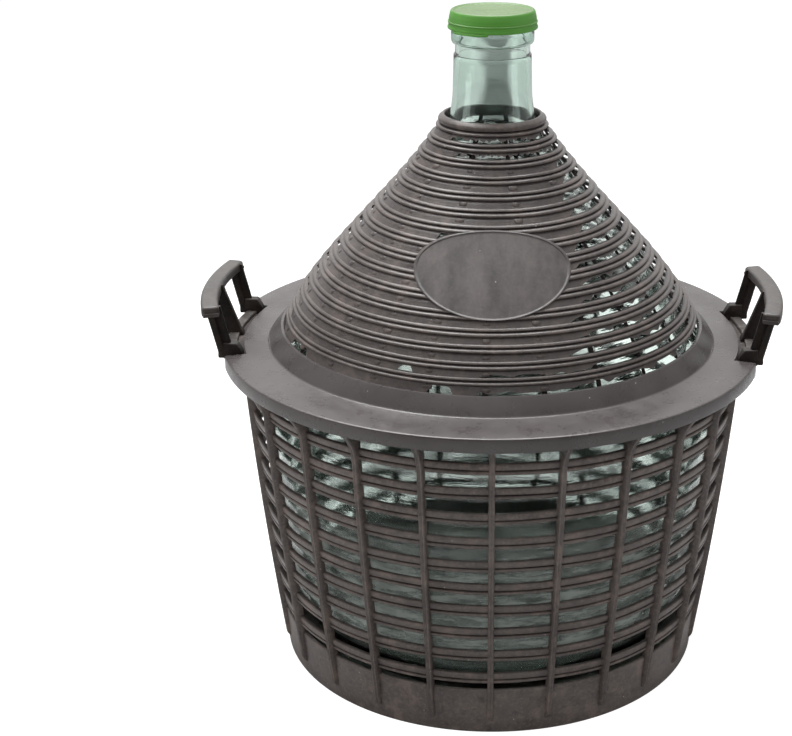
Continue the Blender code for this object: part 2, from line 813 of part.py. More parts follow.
def tang_box(name, turn, spread, gap):
    """A tang of the foot plate, or its slot in the lip when the gap is given."""
    middle = HANDLE_FOOT_INNER + TANG_INSET
    half_x = TANG_THICKNESS / 2.0 + gap
    half_y = TANG_WIDTH / 2.0 + gap
    bottom = BASKET_HEIGHT - LIP_THICKNESS - TANG_LENGTH - gap
    top = HANDLE_FOOT_BOTTOM + TANG_SINK
    low = (middle, spread, half_x, half_y, bottom)
    high = (middle, spread, half_x, half_y, top)
    return prism(name, turn, low, high)


def tang_spreads():
    spread = UPRIGHT_SPREAD * TANG_SPREAD_SHARE
    return (-spread, spread)


def make_foot_plate(turn):
    """The curved plate on the lip of the basket that carries the uprights."""
    radii = (HANDLE_FOOT_INNER, HANDLE_FOOT_OUTER)
    heights = (HANDLE_FOOT_BOTTOM, HANDLE_FOOT_BOTTOM + HANDLE_FOOT_THICKNESS)
    half_angle = math.atan2(UPRIGHT_SPREAD + HANDLE_FOOT_OVERHANG, UPRIGHT_FOOT_X)
    return arc_block("foot", turn, radii, heights, half_angle, FOOT_STEPS)


def make_handle(name, turn, surface):
    middle = (GRIP_INNER + GRIP_OUTER) / 2.0
    half_angle = math.asin((UPRIGHT_SPREAD + GRIP_OVERHANG) / middle)
    handle = sweep(name, turn, grip_section(), half_angle, GRIP_STEPS)
    foot = make_foot_plate(turn)
    for upright in make_uprights(turn):
        combine(foot, upright, "UNION")
    for spread in tang_spreads():
        combine(foot, tang_box("tang", turn, spread, 0.0), "UNION")
    combine(handle, foot, "UNION")
    return finish(handle, surface)


# Turned pieces

def lathe(name, profile):
    """A closed body turned from a loop of (radius, height) points."""
    shell = Shell()
    loops = []
    for step in range(LATHE_SIDES):
        angle = 2.0 * math.pi * step / LATHE_SIDES
        loops.append([
            Vector((radius * math.cos(angle), radius * math.sin(angle), height))
            for radius, height in profile
        ])
    count = len(profile)
    for step in range(LATHE_SIDES):
        here = loops[step]
        there = loops[(step + 1) % LATHE_SIDES]
        for index in range(count):
            after = (index + 1) % count
            shell.face([here[index], there[index], there[after], here[after]])
    return shell.build(name)


def glass_corner(radius, height, thickness):
    """The rounded bottom corner of the glass as an elliptical quarter."""
    base = GLASS_BASE_RADIUS - thickness
    floor = GLASS_REST + thickness
    points = []
    for step in range(GLASS_CORNER_STEPS + 1):
        angle = math.pi / 2.0 * step / GLASS_CORNER_STEPS
        points.append((
            base + (radius - thickness - base) * math.sin(angle),
            floor + (height - floor) * (1.0 - math.cos(angle)),
        ))
    return points


def glass_radius(height):
    return wall_inner(height) * GLASS_WALL_SHARE


def glass_side(thickness):
    """The wall of the bottle from the base to the foot of the neck."""
    points = [(0.0, GLASS_REST + thickness)]
    points += glass_corner(glass_radius(GLASS_CORNER_HEIGHT), GLASS_CORNER_HEIGHT, thickness)
    for share in GLASS_WALL_SHARES:
        height = GLASS_CORNER_HEIGHT + (HULL_TOP - GLASS_CORNER_HEIGHT) * share
        points.append((glass_radius(height) - thickness, height))
    for height, radius in GLASS_SHOULDER:
        points.append((radius - thickness, height - thickness / 2.0))
    for share in GLASS_CONE_SHARES:
        height = CONE_BASE + CONE_HEIGHT * share
        points.append((crest_radius(height) - GLASS_CONE_GAP - thickness, height))
    return points


def bottle_profile():
    outer = glass_side(0.0) + [
        (NECK_ROOT_RADIUS, NECK_ROOT),
        (NECK_MIDDLE_RADIUS, NECK_MIDDLE),
        (NECK_RADIUS, NECK_TOP - BEAD_EDGE),
        (GROOVE_RADIUS, NECK_TOP),
        (GROOVE_RADIUS, BEAD_BOTTOM),
        (BEAD_RADIUS, BEAD_BOTTOM + BEAD_EDGE),
        (BEAD_RADIUS, BEAD_TOP - BEAD_EDGE),
        (FINISH_RADIUS, BEAD_TOP),
        (FINISH_RADIUS, FINISH_TOP - FINISH_EDGE),
        (FINISH_RADIUS - FINISH_EDGE, FINISH_TOP),
    ]
    inner = glass_side(GLASS_THICKNESS) + [
        (NECK_ROOT_RADIUS - GLASS_THICKNESS, NECK_ROOT),
        (BORE_RADIUS, NECK_MIDDLE),
        (BORE_RADIUS, FINISH_TOP),
    ]
    return outer + inner[::-1]


def make_bottle(surface):
    return finish(lathe("bottle", bottle_profile()), surface)


def cap_profile():
    plug_outer = BORE_RADIUS - FIT_GAP
    plug_inner = plug_outer - CAP_PLUG_THICKNESS
    recess = CAP_TOP - CAP_RECESS
    return [
        (0.0, recess - CAP_DIMPLE),
        (CAP_DIMPLE_RADIUS, recess),
        (CAP_RECESS_RADIUS, recess),
        (CAP_RECESS_RADIUS + CAP_EDGE, CAP_TOP),
        (CAP_TOP_RADIUS - CAP_EDGE, CAP_TOP),
        (CAP_TOP_RADIUS, CAP_TOP - CAP_EDGE),
        (CAP_SHOULDER_RADIUS, CAP_SHOULDER),
        (CAP_SKIRT_RADIUS, CAP_BOTTOM + CAP_BAND_HEIGHT),
        (CAP_BAND_RADIUS, CAP_BOTTOM + CAP_EDGE),
        (CAP_BAND_RADIUS, CAP_BOTTOM),
        (FINISH_RADIUS + FIT_GAP, CAP_BOTTOM),
        (FINISH_RADIUS + FIT_GAP, CAP_SEAT),
        (plug_outer, CAP_SEAT),
        (plug_outer, CAP_PLUG_BOTTOM),
        (plug_inner, CAP_PLUG_BOTTOM),
        (plug_inner, CAP_SEAT),
        (0.0, CAP_SEAT),
    ]


def make_pull():
    """The lip that sticks out of the cap's lower edge at the front left."""
    middle = (PULL_START + PULL_END) / 2.0
    half_angle = (PULL_END - PULL_START) / 2.0
    radii = (PULL_ROOT_RADIUS, PULL_RADIUS)
    heights = (CAP_BOTTOM, CAP_BOTTOM + PULL_THICKNESS)
    pull = arc_block("pull", 1.0, radii, heights, half_angle, PULL_STEPS)
    for vertex in pull.data.vertices:
        x, y, z = vertex.co
        vertex.co = (
            x * math.cos(middle) - y * math.sin(middle),
            x * math.sin(middle) + y * math.cos(middle),
            z,
        )
    return pull


def make_cap(surface):
    cap = lathe("cap", cap_profile())
    combine(cap, make_pull(), "UNION")
    return finish(cap, surface)


def clear_scene():
    for existing in list(bpy.data.objects):
        bpy.data.objects.remove(existing)


def main():
    clear_scene()
    plastic = material("dark_plastic", (0.075, 0.066, 0.062), 0.55)
    cover_plastic = material("cover_plastic", (0.075, 0.066, 0.062), 0.5)
    handle_plastic = material("handle_plastic", (0.07, 0.062, 0.06), 0.5)
    glass = material("pale_green_glass", (0.72, 0.84, 0.8), 0.05, 0.35)
    green = material("green_plastic", (0.05, 0.32, 0.16), 0.4)
    make_basket(plastic)
    make_cover(cover_plastic)
    make_bottle(glass)
    make_cap(green)
    make_handle("handle_right", 1.0, handle_plastic)
    make_handle("handle_left", -1.0, handle_plastic)


main()
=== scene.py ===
import math

import bmesh
import bpy
import numpy as np
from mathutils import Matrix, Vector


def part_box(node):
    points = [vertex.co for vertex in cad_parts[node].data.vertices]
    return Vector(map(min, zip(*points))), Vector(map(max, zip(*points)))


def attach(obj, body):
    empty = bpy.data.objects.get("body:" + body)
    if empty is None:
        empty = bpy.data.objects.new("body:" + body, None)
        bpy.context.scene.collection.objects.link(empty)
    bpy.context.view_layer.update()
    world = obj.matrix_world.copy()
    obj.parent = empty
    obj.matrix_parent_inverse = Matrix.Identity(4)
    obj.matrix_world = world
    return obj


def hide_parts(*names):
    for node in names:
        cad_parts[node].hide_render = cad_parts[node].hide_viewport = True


# The visual model of the demijohn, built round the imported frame. Lengths are in
# millimetres until a mesh is made. Radii are measured from the vessel's axis,
# and angles are in degrees, with the front of the vessel at -90.

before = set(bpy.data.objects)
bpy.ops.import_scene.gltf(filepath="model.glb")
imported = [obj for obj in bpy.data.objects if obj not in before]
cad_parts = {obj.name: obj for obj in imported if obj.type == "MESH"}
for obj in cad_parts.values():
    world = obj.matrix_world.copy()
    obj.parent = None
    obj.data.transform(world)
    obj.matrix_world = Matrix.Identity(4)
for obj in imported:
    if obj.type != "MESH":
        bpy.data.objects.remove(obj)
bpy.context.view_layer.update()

MM = 0.001
SEED = 20
random = np.random.default_rng(SEED)


def box_in_mm(node):
    low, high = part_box(node)
    return np.array(low) / MM, np.array(high) / MM


COVER_LOW, COVER_HIGH = box_in_mm("cover")
BASKET_LOW, BASKET_HIGH = box_in_mm("basket")
BOTTLE_LOW, BOTTLE_HIGH = box_in_mm("bottle")
CAP_LOW, CAP_HIGH = box_in_mm("cap")
HANDLE_LOW, HANDLE_HIGH = box_in_mm("handle_right")

# Sizes that the boxes don't give, as in the CAD
FLANGE_CORNER = math.radians(1.2)
FLANGE_OVERHANG = 14.5
FLANGE_RISE = 4.0
COLLAR_RISE = 7.5
CONE_FOOT_RISE = 11.0
CONE_FOOT_INSET = 27.7
CONE_TOP_OUTSET = 12.3
CAP_OVERHANG = 4.1
SEAT_GAP = 0.3
WALL_THICKNESS = 3.0
LIP_THICKNESS = 3.0

# Sizes worked out from the boxes. The CAD's flange has flat facets, with a corner
# by the front, and the round flange of this model stays within them.
LIP_TOP = BASKET_HIGH[2]
SKIRT_BOTTOM = COVER_LOW[2]
FLANGE_RADIUS = -COVER_LOW[1] / math.cos(FLANGE_CORNER)
ROUND_FLANGE = -COVER_LOW[1]
FLANGE_TOP = LIP_TOP + FLANGE_RISE
LIP_RADIUS = -BASKET_LOW[1]
BODY_RADIUS = FLANGE_RADIUS - FLANGE_OVERHANG
CONE_TOP = COVER_HIGH[2] - COLLAR_RISE
CONE_BASE = LIP_TOP + CONE_FOOT_RISE
CONE_HEIGHT = CONE_TOP - CONE_BASE
NECK_RADIUS = CAP_HIGH[0] - CAP_OVERHANG
GRIP_TOP = HANDLE_HIGH[2]
GRIP_OUTER = HANDLE_HIGH[0]

# The cone's crest curve
CONE_BASE_RADIUS = BODY_RADIUS - CONE_FOOT_INSET
CONE_TOP_RADIUS = NECK_RADIUS + CONE_TOP_OUTSET
CONE_START_SLOPE = 0.5
CONE_END_SLOPE = 0.8

# The basket's hull curve
HULL_TAPER = 0.871
HULL_BASE = HULL_TAPER * BODY_RADIUS
HULL_TOP = LIP_TOP - 31.0
HULL_BELLY = 1.7
RIB_DEPTH = 3.5

# Columns of bars and ribs. The cover stands turned a little against the basket.
COLUMNS = 24
COLUMN_STEP = 360.0 / COLUMNS
FIRST_BAR = -90.1
FIRST_RIB = -88.4


def crest(height):
    """The radius of the cone's crest curve at a height."""
    t = (height - CONE_BASE) / CONE_HEIGHT
    drop = (t**3 - 2 * t**2 + t) * CONE_START_SLOPE
    drop = drop + (3 * t**2 - 2 * t**3) + (t**3 - t**2) * CONE_END_SLOPE
    return CONE_BASE_RADIUS - (CONE_BASE_RADIUS - CONE_TOP_RADIUS) * drop


def hull(height):
    """The radius of the surface that the outer edges of the ribs lie on."""
    share = height / HULL_TOP
    radius = HULL_BASE + (BODY_RADIUS - HULL_BASE) * share
    return radius + HULL_BELLY * 4.0 * share * (1.0 - share)


# Mesh making

MERGE_DISTANCE = 0.001


class Pile:
    """Collects points and faces for one mesh object."""

    def __init__(self):
        self.points = []
        self.quads = []
        self.loops = []
        self.count = 0

    def grid(self, points, wrap_rows=False, wrap_columns=False, flip=False):
        """Quads over a grid of points, rows by columns. Returns the vertex numbers."""
        points = np.asarray(points, float)
        rows, columns = points.shape[:2]
        index = np.arange(rows * columns).reshape(rows, columns) + self.count
        if wrap_rows:
            below, above = index, np.roll(index, -1, axis=0)
        else:
            below, above = index[:-1], index[1:]
        if wrap_columns:
            quads = (below, above, np.roll(above, -1, axis=1), np.roll(below, -1, axis=1))
        else:
            quads = (below[:, :-1], above[:, :-1], above[:, 1:], below[:, 1:])
        quads = np.stack(quads, axis=-1).reshape(-1, 4)
        self.quads.append(quads[:, ::-1] if flip else quads)
        self.points.append(points.reshape(-1, 3))
        self.count += rows * columns
        return index

    def close(self, index, flip=False):
        """One face over the first row of a grid of vertex numbers, and one over the last."""
        first, last = (index[0], index[-1][::-1]) if flip else (index[0][::-1], index[-1])
        self.loops += [first.tolist(), last.tolist()]

    def build(self, name, surface, body, node, slot, sharp, merge=False, recess=None):
        """Makes the mesh object, which rides on a body and stands for a CAD node.

        The painted shade gives how far the plastic is painted darker at each point, where shade
        falls, from 0 to 1.
        """
        mesh = bpy.data.meshes.new(name)
        points = np.concatenate(self.points) * MM
        mesh.from_pydata(points, [], np.concatenate(self.quads).tolist() + self.loops)
        if merge:
            work = bmesh.new()
            work.from_mesh(mesh)
            bmesh.ops.remove_doubles(work, verts=work.verts, dist=MERGE_DISTANCE * MM)
            bmesh.ops.recalc_face_normals(work, faces=work.faces)
            work.to_mesh(mesh)
            work.free()
        mesh.validate()
        mesh.polygons.foreach_set("use_smooth", [True] * len(mesh.polygons))
        mesh.set_sharp_from_angle(angle=math.radians(sharp))
        mesh.materials.append(surface)
        # The painted shade, kept as a point attribute that the plastics darken by
        if recess is not None:
            depth = mesh.attributes.new("recess", "FLOAT", "POINT")
            depth.data.foreach_set("value", recess(points / MM).astype(np.float32))
        made = bpy.data.objects.new(name, mesh)
        bpy.context.scene.collection.objects.link(made)
        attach(made, body)
        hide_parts(node)


def make_piece(name, surface, place, sharp, makers, **options):
    """One mesh object from what the makers pile up. Its place is its body, node and slot, and the
    slot is not used.
    """
    pile = Pile()
    for make in makers:
        make(pile)
    pile.build(name, surface, *place, sharp, **options)


def moved(outline, radius, height):
    """An outline of (radius, height), moved out by a radius and up by a height."""
    return [(radius + out, height + up) for out, up in outline]


def is_clockwise(outline):
    x, y = outline[:, 0], outline[:, 1]
    return np.sum(x * np.roll(y, -1) - y * np.roll(x, -1)) < 0.0


def turn(pile, outline, start=0.0, end=360.0, steps=288, wave=None):
    """Sweeps a closed outline of (radius, height) round the axis, whole or as a sector.

    The wave is how far it waves in radius and in height.
    """
    outline = np.array(outline, float)
    if is_clockwise(outline):
        outline = outline[::-1]
    whole = end - start > 359.9
    angles = np.linspace(start, end, steps + 1)
    if whole:
        angles = angles[:-1]
    radius, height = outline[None, :, 0], outline[None, :, 1]
    if wave is not None:
        radial, vertical = waviness(np.radians(angles), *wave)
        radius, height = radius + radial[:, None], height + vertical[:, None]
    points = polar(radius, angles[:, None], height)
    index = pile.grid(points, wrap_rows=whole, wrap_columns=True)
    if not whole:
        pile.close(index)


def block(pile, loops):
    """A closed body from loops of points given from the bottom up, counter-clockwise."""
    pile.close(pile.grid(loops, wrap_columns=True, flip=True))


def waviness(angles, radial, vertical, longest=9):
    """Slow random changes of radius and height at angles, in radians, round the axis."""
    phases = random.uniform(0.0, 2.0 * math.pi, (2, longest))
    sizes = random.uniform(0.3, 1.0, (2, longest)) / math.sqrt(longest)
    turns = np.arange(1, longest + 1)[None, :] * angles[:, None]
    radius = np.sum(sizes[0] * np.sin(turns + phases[0]), axis=1) * radial
    height = np.sum(sizes[1] * np.sin(turns + phases[1]), axis=1) * vertical
    return radius, height


def smooth_noise(angles, span):
    """Random values from -1 to 1 that change over the given span of degrees."""
    count = int(round(360.0 / span))
    values = random.uniform(-1.0, 1.0, count)
    place = ((angles + 180.0) % 360.0) / 360.0 * count
    index = np.floor(place).astype(int) % count
    share = place - np.floor(place)
    share = share * share * (3.0 - 2.0 * share)
    return values[index] * (1.0 - share) + values[(index + 1) % count] * share


def polar(radius, angle, height):
    """Points from arrays of radius, angle in degrees and height."""
    angle = np.radians(angle)
    return np.stack([radius * np.cos(angle), radius * np.sin(angle), height + 0.0 * angle], axis=-1)


def turned(section, x, y, around, height):
    """A loop at a height: a section of (out, side) moved to a place and turned."""
    cosine, sine = math.cos(math.radians(around)), math.sin(math.radians(around))
    loop = []
    for out, side in section:
        px, py = x + out, y + side
        loop.append((px * cosine - py * sine, px * sine + py * cosine, height))
    return loop


def bar_loop(angle, outer, inner, half_width, height, round_by, crown):
    """A loop across a bar, with rounded outer corners and a crown or a hollow between."""
    section = (
        (inner, -half_width), (outer - round_by, -half_width), (outer, -half_width + round_by),
        (outer + crown, 0.0), (outer, half_width - round_by), (outer - round_by, half_width),
        (inner, half_width),
    )
    return turned(section, 0.0, 0.0, angle, height)


# Painted shade, where the plastic is darkened as if shaded: on rings and slats from a depth under
# their face, over a further depth, less on the lit left side; and on the flange's skirt below its
# rounded edge, more on the right

RING_SHADE = (0.4, 1.6)
SLAT_SHADE = (0.3, 1.2)
LIT_LEFT_REACH = 130.0
LIT_LEFT_SHADE = 0.25
SKIRT_SHADE = 0.2
SKIRT_SHADE_TILT = 0.3
SKIRT_INNER = ROUND_FLANGE - 0.3
SKIRT_TOP = FLANGE_TOP - 0.9
BAND_TOP = 36.0


def radius_of(points):
    return np.hypot(points[:, 0], points[:, 1])


def shade(under, start, depth):
    return np.clip((under - start) / depth, 0.0, 1.0)


def cover_recess(points):
    """Painted shade: darkens what lies under the crest of the cone's rings, less on the left side,
    where the light falls.
    """
    away_from_lit_left = np.clip(1.0 + points[:, 0] / LIT_LEFT_REACH, LIT_LEFT_SHADE, 1.0)
    return shade(crest(points[:, 2]) - radius_of(points), *RING_SHADE) * away_from_lit_left


def skirt_recess(points):
    """Painted shade on the skirt of the flange: darker on the right side than on the lit left."""
    on_skirt = (radius_of(points) > SKIRT_INNER) & (points[:, 2] < SKIRT_TOP)
    tilted = SKIRT_SHADE + SKIRT_SHADE_TILT * points[:, 0] / ROUND_FLANGE
    return np.clip(tilted, 0.0, 1.0) * on_skirt


def basket_recess(points):
    """Painted shade: darkens what lies under the face of the basket's slats, above the plain band.
    """
    under = hull(points[:, 2]) - RIB_DEPTH - radius_of(points)
    return shade(under, *SLAT_SHADE) * (points[:, 2] > BAND_TOP + 1.0)


# Material nodes

def feed(tree, node, inputs):
    """Links inputs of a node to sockets, or sets them to numbers, vectors and colours."""
    for name, value in inputs.items():
        socket = node.inputs[name]
        if isinstance(value, bpy.types.NodeSocket):
            tree.links.new(value, socket)
        elif socket.type == "RGBA":
            socket.default_value = (*value, 1.0)
        else:
            socket.default_value = value


def add_node(tree, kind, inputs=None, **properties):
    """A new shader node of a kind, with its properties set and its inputs fed."""
    node = tree.nodes.new("ShaderNode" + kind)
    for name, value in properties.items():
        setattr(node, name, value)
    feed(tree, node, inputs or {})
    return node


def new_material(name):
    """A material with its node tree and its shader."""
    material = bpy.data.materials.new(name)
    material.use_nodes = True
    tree = material.node_tree
    return material, tree, tree.nodes["Principled BSDF"]


def object_place(tree):
    return add_node(tree, "TexCoord").outputs["Object"]


def noise(tree, where, scale, detail=3.0, roughness=0.5):
    inputs = {"Vector": where, "Scale": scale, "Detail": detail, "Roughness": roughness}
    return add_node(tree, "TexNoise", inputs).outputs["Fac"]


def stretched(tree, where, scale):
    return add_node(tree, "Mapping", {"Vector": where, "Scale": scale}).outputs["Vector"]


def remap(tree, value, low, high, to_low=0.0, to_high=1.0):
    inputs = {
        "Value": value, "From Min": low, "From Max": high, "To Min": to_low, "To Max": to_high,
    }
    return add_node(tree, "MapRange", inputs).outputs["Result"]


def blend(tree, share, first, second):
    """A mix of two colours, which are tuples or sockets."""
    inputs = {0: share, 6: first, 7: second}
    return add_node(tree, "Mix", inputs, data_type="RGBA").outputs[2]


def maths(tree, operation, first, second=0.0):
    inputs = {0: first, 1: second}
    return add_node(tree, "Math", inputs, operation=operation).outputs[0]


def times(tree, first, second):
    return maths(tree, "MULTIPLY", first, second)


def axes_of(tree, vector):
    return add_node(tree, "SeparateXYZ", {0: vector}).outputs


def facing_up(tree, start, most):
    """Rises to the most as the surface turns from the start towards straight up."""
    normal = add_node(tree, "NewGeometry").outputs["Normal"]
    return remap(tree, axes_of(tree, normal)["Z"], start, 1.0, 0.0, most)


def add_bump(tree, shader, relief, strength, depth):
    inputs = {"Height": relief, "Strength": strength, "Distance": depth * MM}
    feed(tree, shader, {"Normal": add_node(tree, "Bump", inputs).outputs["Normal"]})


# Materials

# The plastics' noises: cells per metre, detail and roughness
CLOUDS = (22.0, 4.0, 0.6)
STREAKS = (55.0, 4.0, 0.6)
SCUFFS = (160.0, 5.0, 0.65)
GRAIN = (1400.0, 2.0, 0.5)
MOTTLE = (420.0, 3.0, 0.6)
PATCHES = (75.0, 5.0, 0.65)
STREAK_STRETCH = (1.0, 0.35, 0.35)

# Layers of colour: from which value of a noise to which they come, and how strongly
CLOUD_RANGE = (0.35, 0.65)
MOTTLE_RANGE = (0.5, 0.72)
PATCH_RANGE = (0.5, 0.66)
SCUFF_RANGE = (0.46, 0.3)
WIDE_RANGE = (0.3, 0.7)
MOTTLE_SHARE = 0.5
PATCH_SHARE = 0.6
SCUFF_SHARE = 0.5
# How far the painted shade in grooves and recesses darkens
PAINTED_SHADE_SHARE = 0.85
WORN_TINT = (2.0, 1.85, 1.7)
SCUFF_COLOUR = (0.012, 0.010, 0.009)
# Dust and painted top light: the colour that what faces up turns towards, and the tilt it starts at
DUST_AND_TOP_LIGHT_COLOUR = (0.2, 0.19, 0.18)
DUST_AND_TOP_LIGHT_START = 0.3
# The colour of the painted shade in grooves and recesses
PAINTED_SHADE_COLOUR = (0.006, 0.005, 0.005)

# Specks of light dirt in a few cells out of many
SPECK_CELLS = 190.0
SPECK_SIZE = 0.085
SPECK_RARITY = 0.93
SPECK_SHARE = 0.6
SPECK_COLOUR = (0.45, 0.43, 0.40)

# On what faces up, each plastic is lightened, partly by dust and partly by painted top light
PLASTICS = {
    "basket_plastic": dict(
        dark=(0.052, 0.041, 0.038), light=(0.076, 0.063, 0.058), rough=(0.32, 0.46), dust_and_top_light=0.06,
    ),
    "cover_plastic": dict(
        dark=(0.040, 0.032, 0.030), light=(0.058, 0.048, 0.045), rough=(0.28, 0.42), dust_and_top_light=0.12,
    ),
    "flange_plastic": dict(
        dark=(0.044, 0.037, 0.037), light=(0.062, 0.054, 0.054), rough=(0.24, 0.38), dust_and_top_light=0.07,
        wear=0.12,
    ),
    "plate_plastic": dict(
        dark=(0.042, 0.037, 0.037), light=(0.088, 0.079, 0.078), rough=(0.36, 0.52), dust_and_top_light=0.08,
        wear=0.3, streaky=True,
    ),
    # Near black and dull: painted shade for the bars, which sit in shade inside the windows
    "bar_painted_shade": dict(
        dark=(0.006, 0.005, 0.005), light=(0.012, 0.010, 0.009), rough=(0.45, 0.6), dust_and_top_light=0.0,
        specular=0.12,
    ),
    "handle_plastic": dict(
        dark=(0.016, 0.013, 0.012), light=(0.030, 0.025, 0.023), rough=(0.38, 0.52), dust_and_top_light=0.24,
    ),
    # A darker, duller copy of the handle plastic: painted shade for the posts, which stand in shade
    "leg_painted_shade": dict(
        dark=(0.007, 0.006, 0.005), light=(0.015, 0.012, 0.011), rough=(0.42, 0.58), dust_and_top_light=0.24,
        specular=0.12,
    ),
}


def plastic(name):
    return make_plastic(name, **PLASTICS[name])


def make_plastic(name, dark, light, rough, dust_and_top_light, streaky=False, specular=0.5, wear=1.0):
    """Dark recycled plastic: cloudy colour, scuffs, dust and painted top light on what faces up,
    specks, and painted shade from the point attribute.
    """
    material, tree, shader = new_material(name)
    where = object_place(tree)
    if streaky:
        clouds = noise(tree, stretched(tree, where, STREAK_STRETCH), *STREAKS)
    else:
        clouds = noise(tree, where, *CLOUDS)
    mottle = noise(tree, where, *MOTTLE)
    patches = noise(tree, where, *PATCHES)
    scuffs = noise(tree, where, *SCUFFS)
    grain = noise(tree, where, *GRAIN)
    worn = tuple(value * tint for value, tint in zip(light, WORN_TINT))
    colour = blend(tree, remap(tree, clouds, *CLOUD_RANGE), dark, light)
    for value, limits, share, over in (
        (mottle, MOTTLE_RANGE, MOTTLE_SHARE, worn), (patches, PATCH_RANGE, PATCH_SHARE, worn),
        (scuffs, SCUFF_RANGE, SCUFF_SHARE, SCUFF_COLOUR),
    ):
        colour = blend(tree, remap(tree, value, *limits, 0.0, share * wear), colour, over)
    # Dust and painted top light: what faces up is lightened, unevenly
    uneven = remap(tree, scuffs, *WIDE_RANGE, 0.5, 1.0)
    up_facing_share = times(tree, facing_up(tree, DUST_AND_TOP_LIGHT_START, dust_and_top_light), uneven)
    colour = blend(tree, up_facing_share, colour, DUST_AND_TOP_LIGHT_COLOUR)
    cells = add_node(tree, "TexVoronoi", {"Vector": where, "Scale": SPECK_CELLS})
    picked = add_node(tree, "SeparateColor", {0: cells.outputs["Color"]})
    near = maths(tree, "LESS_THAN", cells.outputs["Distance"], SPECK_SIZE)
    chosen = maths(tree, "GREATER_THAN", picked.outputs[0], SPECK_RARITY)
    speck = times(tree, near, chosen)
    colour = blend(tree, times(tree, speck, SPECK_SHARE), colour, SPECK_COLOUR)
    # Painted shade in grooves and recesses, read from the point attribute
    recess = add_node(tree, "Attribute", attribute_name="recess").outputs["Fac"]
    colour = blend(tree, times(tree, recess, PAINTED_SHADE_SHARE), colour, PAINTED_SHADE_COLOUR)
    feed(tree, shader, {
        "Base Color": colour,
        "Roughness": remap(tree, patches, *CLOUD_RANGE, *rough),
        "IOR": 1.49,
        "Specular IOR Level": specular,
    })
    relief = maths(tree, "ADD", times(tree, scuffs, 0.6), times(tree, grain, 0.4))
    add_bump(tree, shader, relief, strength=0.15 + 0.3 * wear, depth=0.5)
    return material


# The bottle's glass: two tints, a darker one up the neck, and what its depth absorbs
GLASS_TINTS = ((0.95, 0.98, 0.97), (0.98, 1.0, 0.99))
NECK_TINT = (0.82, 0.855, 0.838)
NECK_TINT_START = CONE_TOP - 10.0
NECK_TINT_FULL = CONE_TOP + 5.0
GLASS_DEPTH_COLOUR = (0.25, 0.50, 0.38)
GLASS_DENSITY = 80.0
GLASS_WAVES = (30.0, 2.0)
GLASS_STREAKS = (45.0, 4.0, 0.6)
GLASS_STRETCH = (1.0, 1.0, 5.0)
GLASS_STREAK_RELIEF = 0.12

# The pale film on the bottle, painted light that stands in for light seen through its base: between
# which heights it rises and falls away
PAINTED_LIGHT_FILM_COLOUR = (0.44, 0.48, 0.45)
PAINTED_LIGHT_FILM_SHARE = 0.62
PAINTED_LIGHT_FILM_RISE = (45.0, 70.0)
PAINTED_LIGHT_FILM_FALL = (130.0, 170.0)
PAINTED_LIGHT_FILM_PATCHES = (0.4, 0.6, 0.3, 1.0)


def make_glass(name):
    """Pale green blown glass: tinted by its depth, faintly wavy, with a pale film low down, painted
    light for light seen through the base.
    """
    material, tree, shader = new_material(name)
    where = object_place(tree)
    height = axes_of(tree, where)["Z"]
    tint = noise(tree, where, scale=9.0, detail=2.0)
    up_neck = remap(tree, height, NECK_TINT_START * MM, NECK_TINT_FULL * MM)
    feed(tree, shader, {
        "Base Color": blend(tree, up_neck, blend(tree, tint, *GLASS_TINTS), NECK_TINT),
        "Roughness": remap(tree, tint, *WIDE_RANGE, 0.01, 0.03),
        "Transmission Weight": 1.0,
        "IOR": 1.5,
    })
    waves = noise(tree, where, *GLASS_WAVES)
    streaks = noise(tree, stretched(tree, where, GLASS_STRETCH), *GLASS_STREAKS)
    relief = maths(tree, "ADD", waves, times(tree, streaks, GLASS_STREAK_RELIEF))
    add_bump(tree, shader, relief, strength=0.3, depth=2.0)
    # The pale film: painted light that stands in for light seen through the bottle's base
    rising = remap(tree, height, PAINTED_LIGHT_FILM_RISE[0] * MM, PAINTED_LIGHT_FILM_RISE[1] * MM)
    falling = remap(tree, height, PAINTED_LIGHT_FILM_FALL[0] * MM, PAINTED_LIGHT_FILM_FALL[1] * MM, 1.0, 0.0)
    zone = maths(tree, "MINIMUM", rising, falling)
    patches = remap(tree, streaks, *PAINTED_LIGHT_FILM_PATCHES)
    share = times(tree, times(tree, zone, patches), PAINTED_LIGHT_FILM_SHARE)
    painted_light_film = add_node(tree, "BsdfDiffuse", {"Color": PAINTED_LIGHT_FILM_COLOUR})
    mixed = add_node(tree, "MixShader", {0: share, 1: shader.outputs[0], 2: painted_light_film.outputs[0]})
    inputs = {"Color": GLASS_DEPTH_COLOUR, "Density": GLASS_DENSITY}
    depth = add_node(tree, "VolumeAbsorption", inputs)
    surfaces = {"Surface": mixed.outputs[0], "Volume": depth.outputs[0]}
    feed(tree, tree.nodes["Material Output"], surfaces)
    return material


CAP_COLOURS = ((0.058, 0.19, 0.026), (0.075, 0.225, 0.038))
CAP_DUST_COLOUR = (0.085, 0.075, 0.055)
CAP_DUST = 0.6
CAP_DUST_START = 0.6
CAP_WEAR = (420.0, 4.0, 0.6)


def make_green(name):
    """Green cap plastic with faint wear, and dusty where it faces up."""
    material, tree, shader = new_material(name)
    where = object_place(tree)
    wear = noise(tree, where, *CAP_WEAR)
    colour = blend(tree, noise(tree, where, scale=60.0), *CAP_COLOURS)
    up_facing_share = facing_up(tree, CAP_DUST_START, CAP_DUST)
    feed(tree, shader, {
        "Base Color": blend(tree, up_facing_share, colour, CAP_DUST_COLOUR),
        "Roughness": remap(tree, wear, *WIDE_RANGE, 0.42, 0.54),
        "IOR": 1.5,
        "Specular IOR Level": 0.35,
    })
    add_bump(tree, shader, wear, strength=0.2, depth=0.3)
    return material


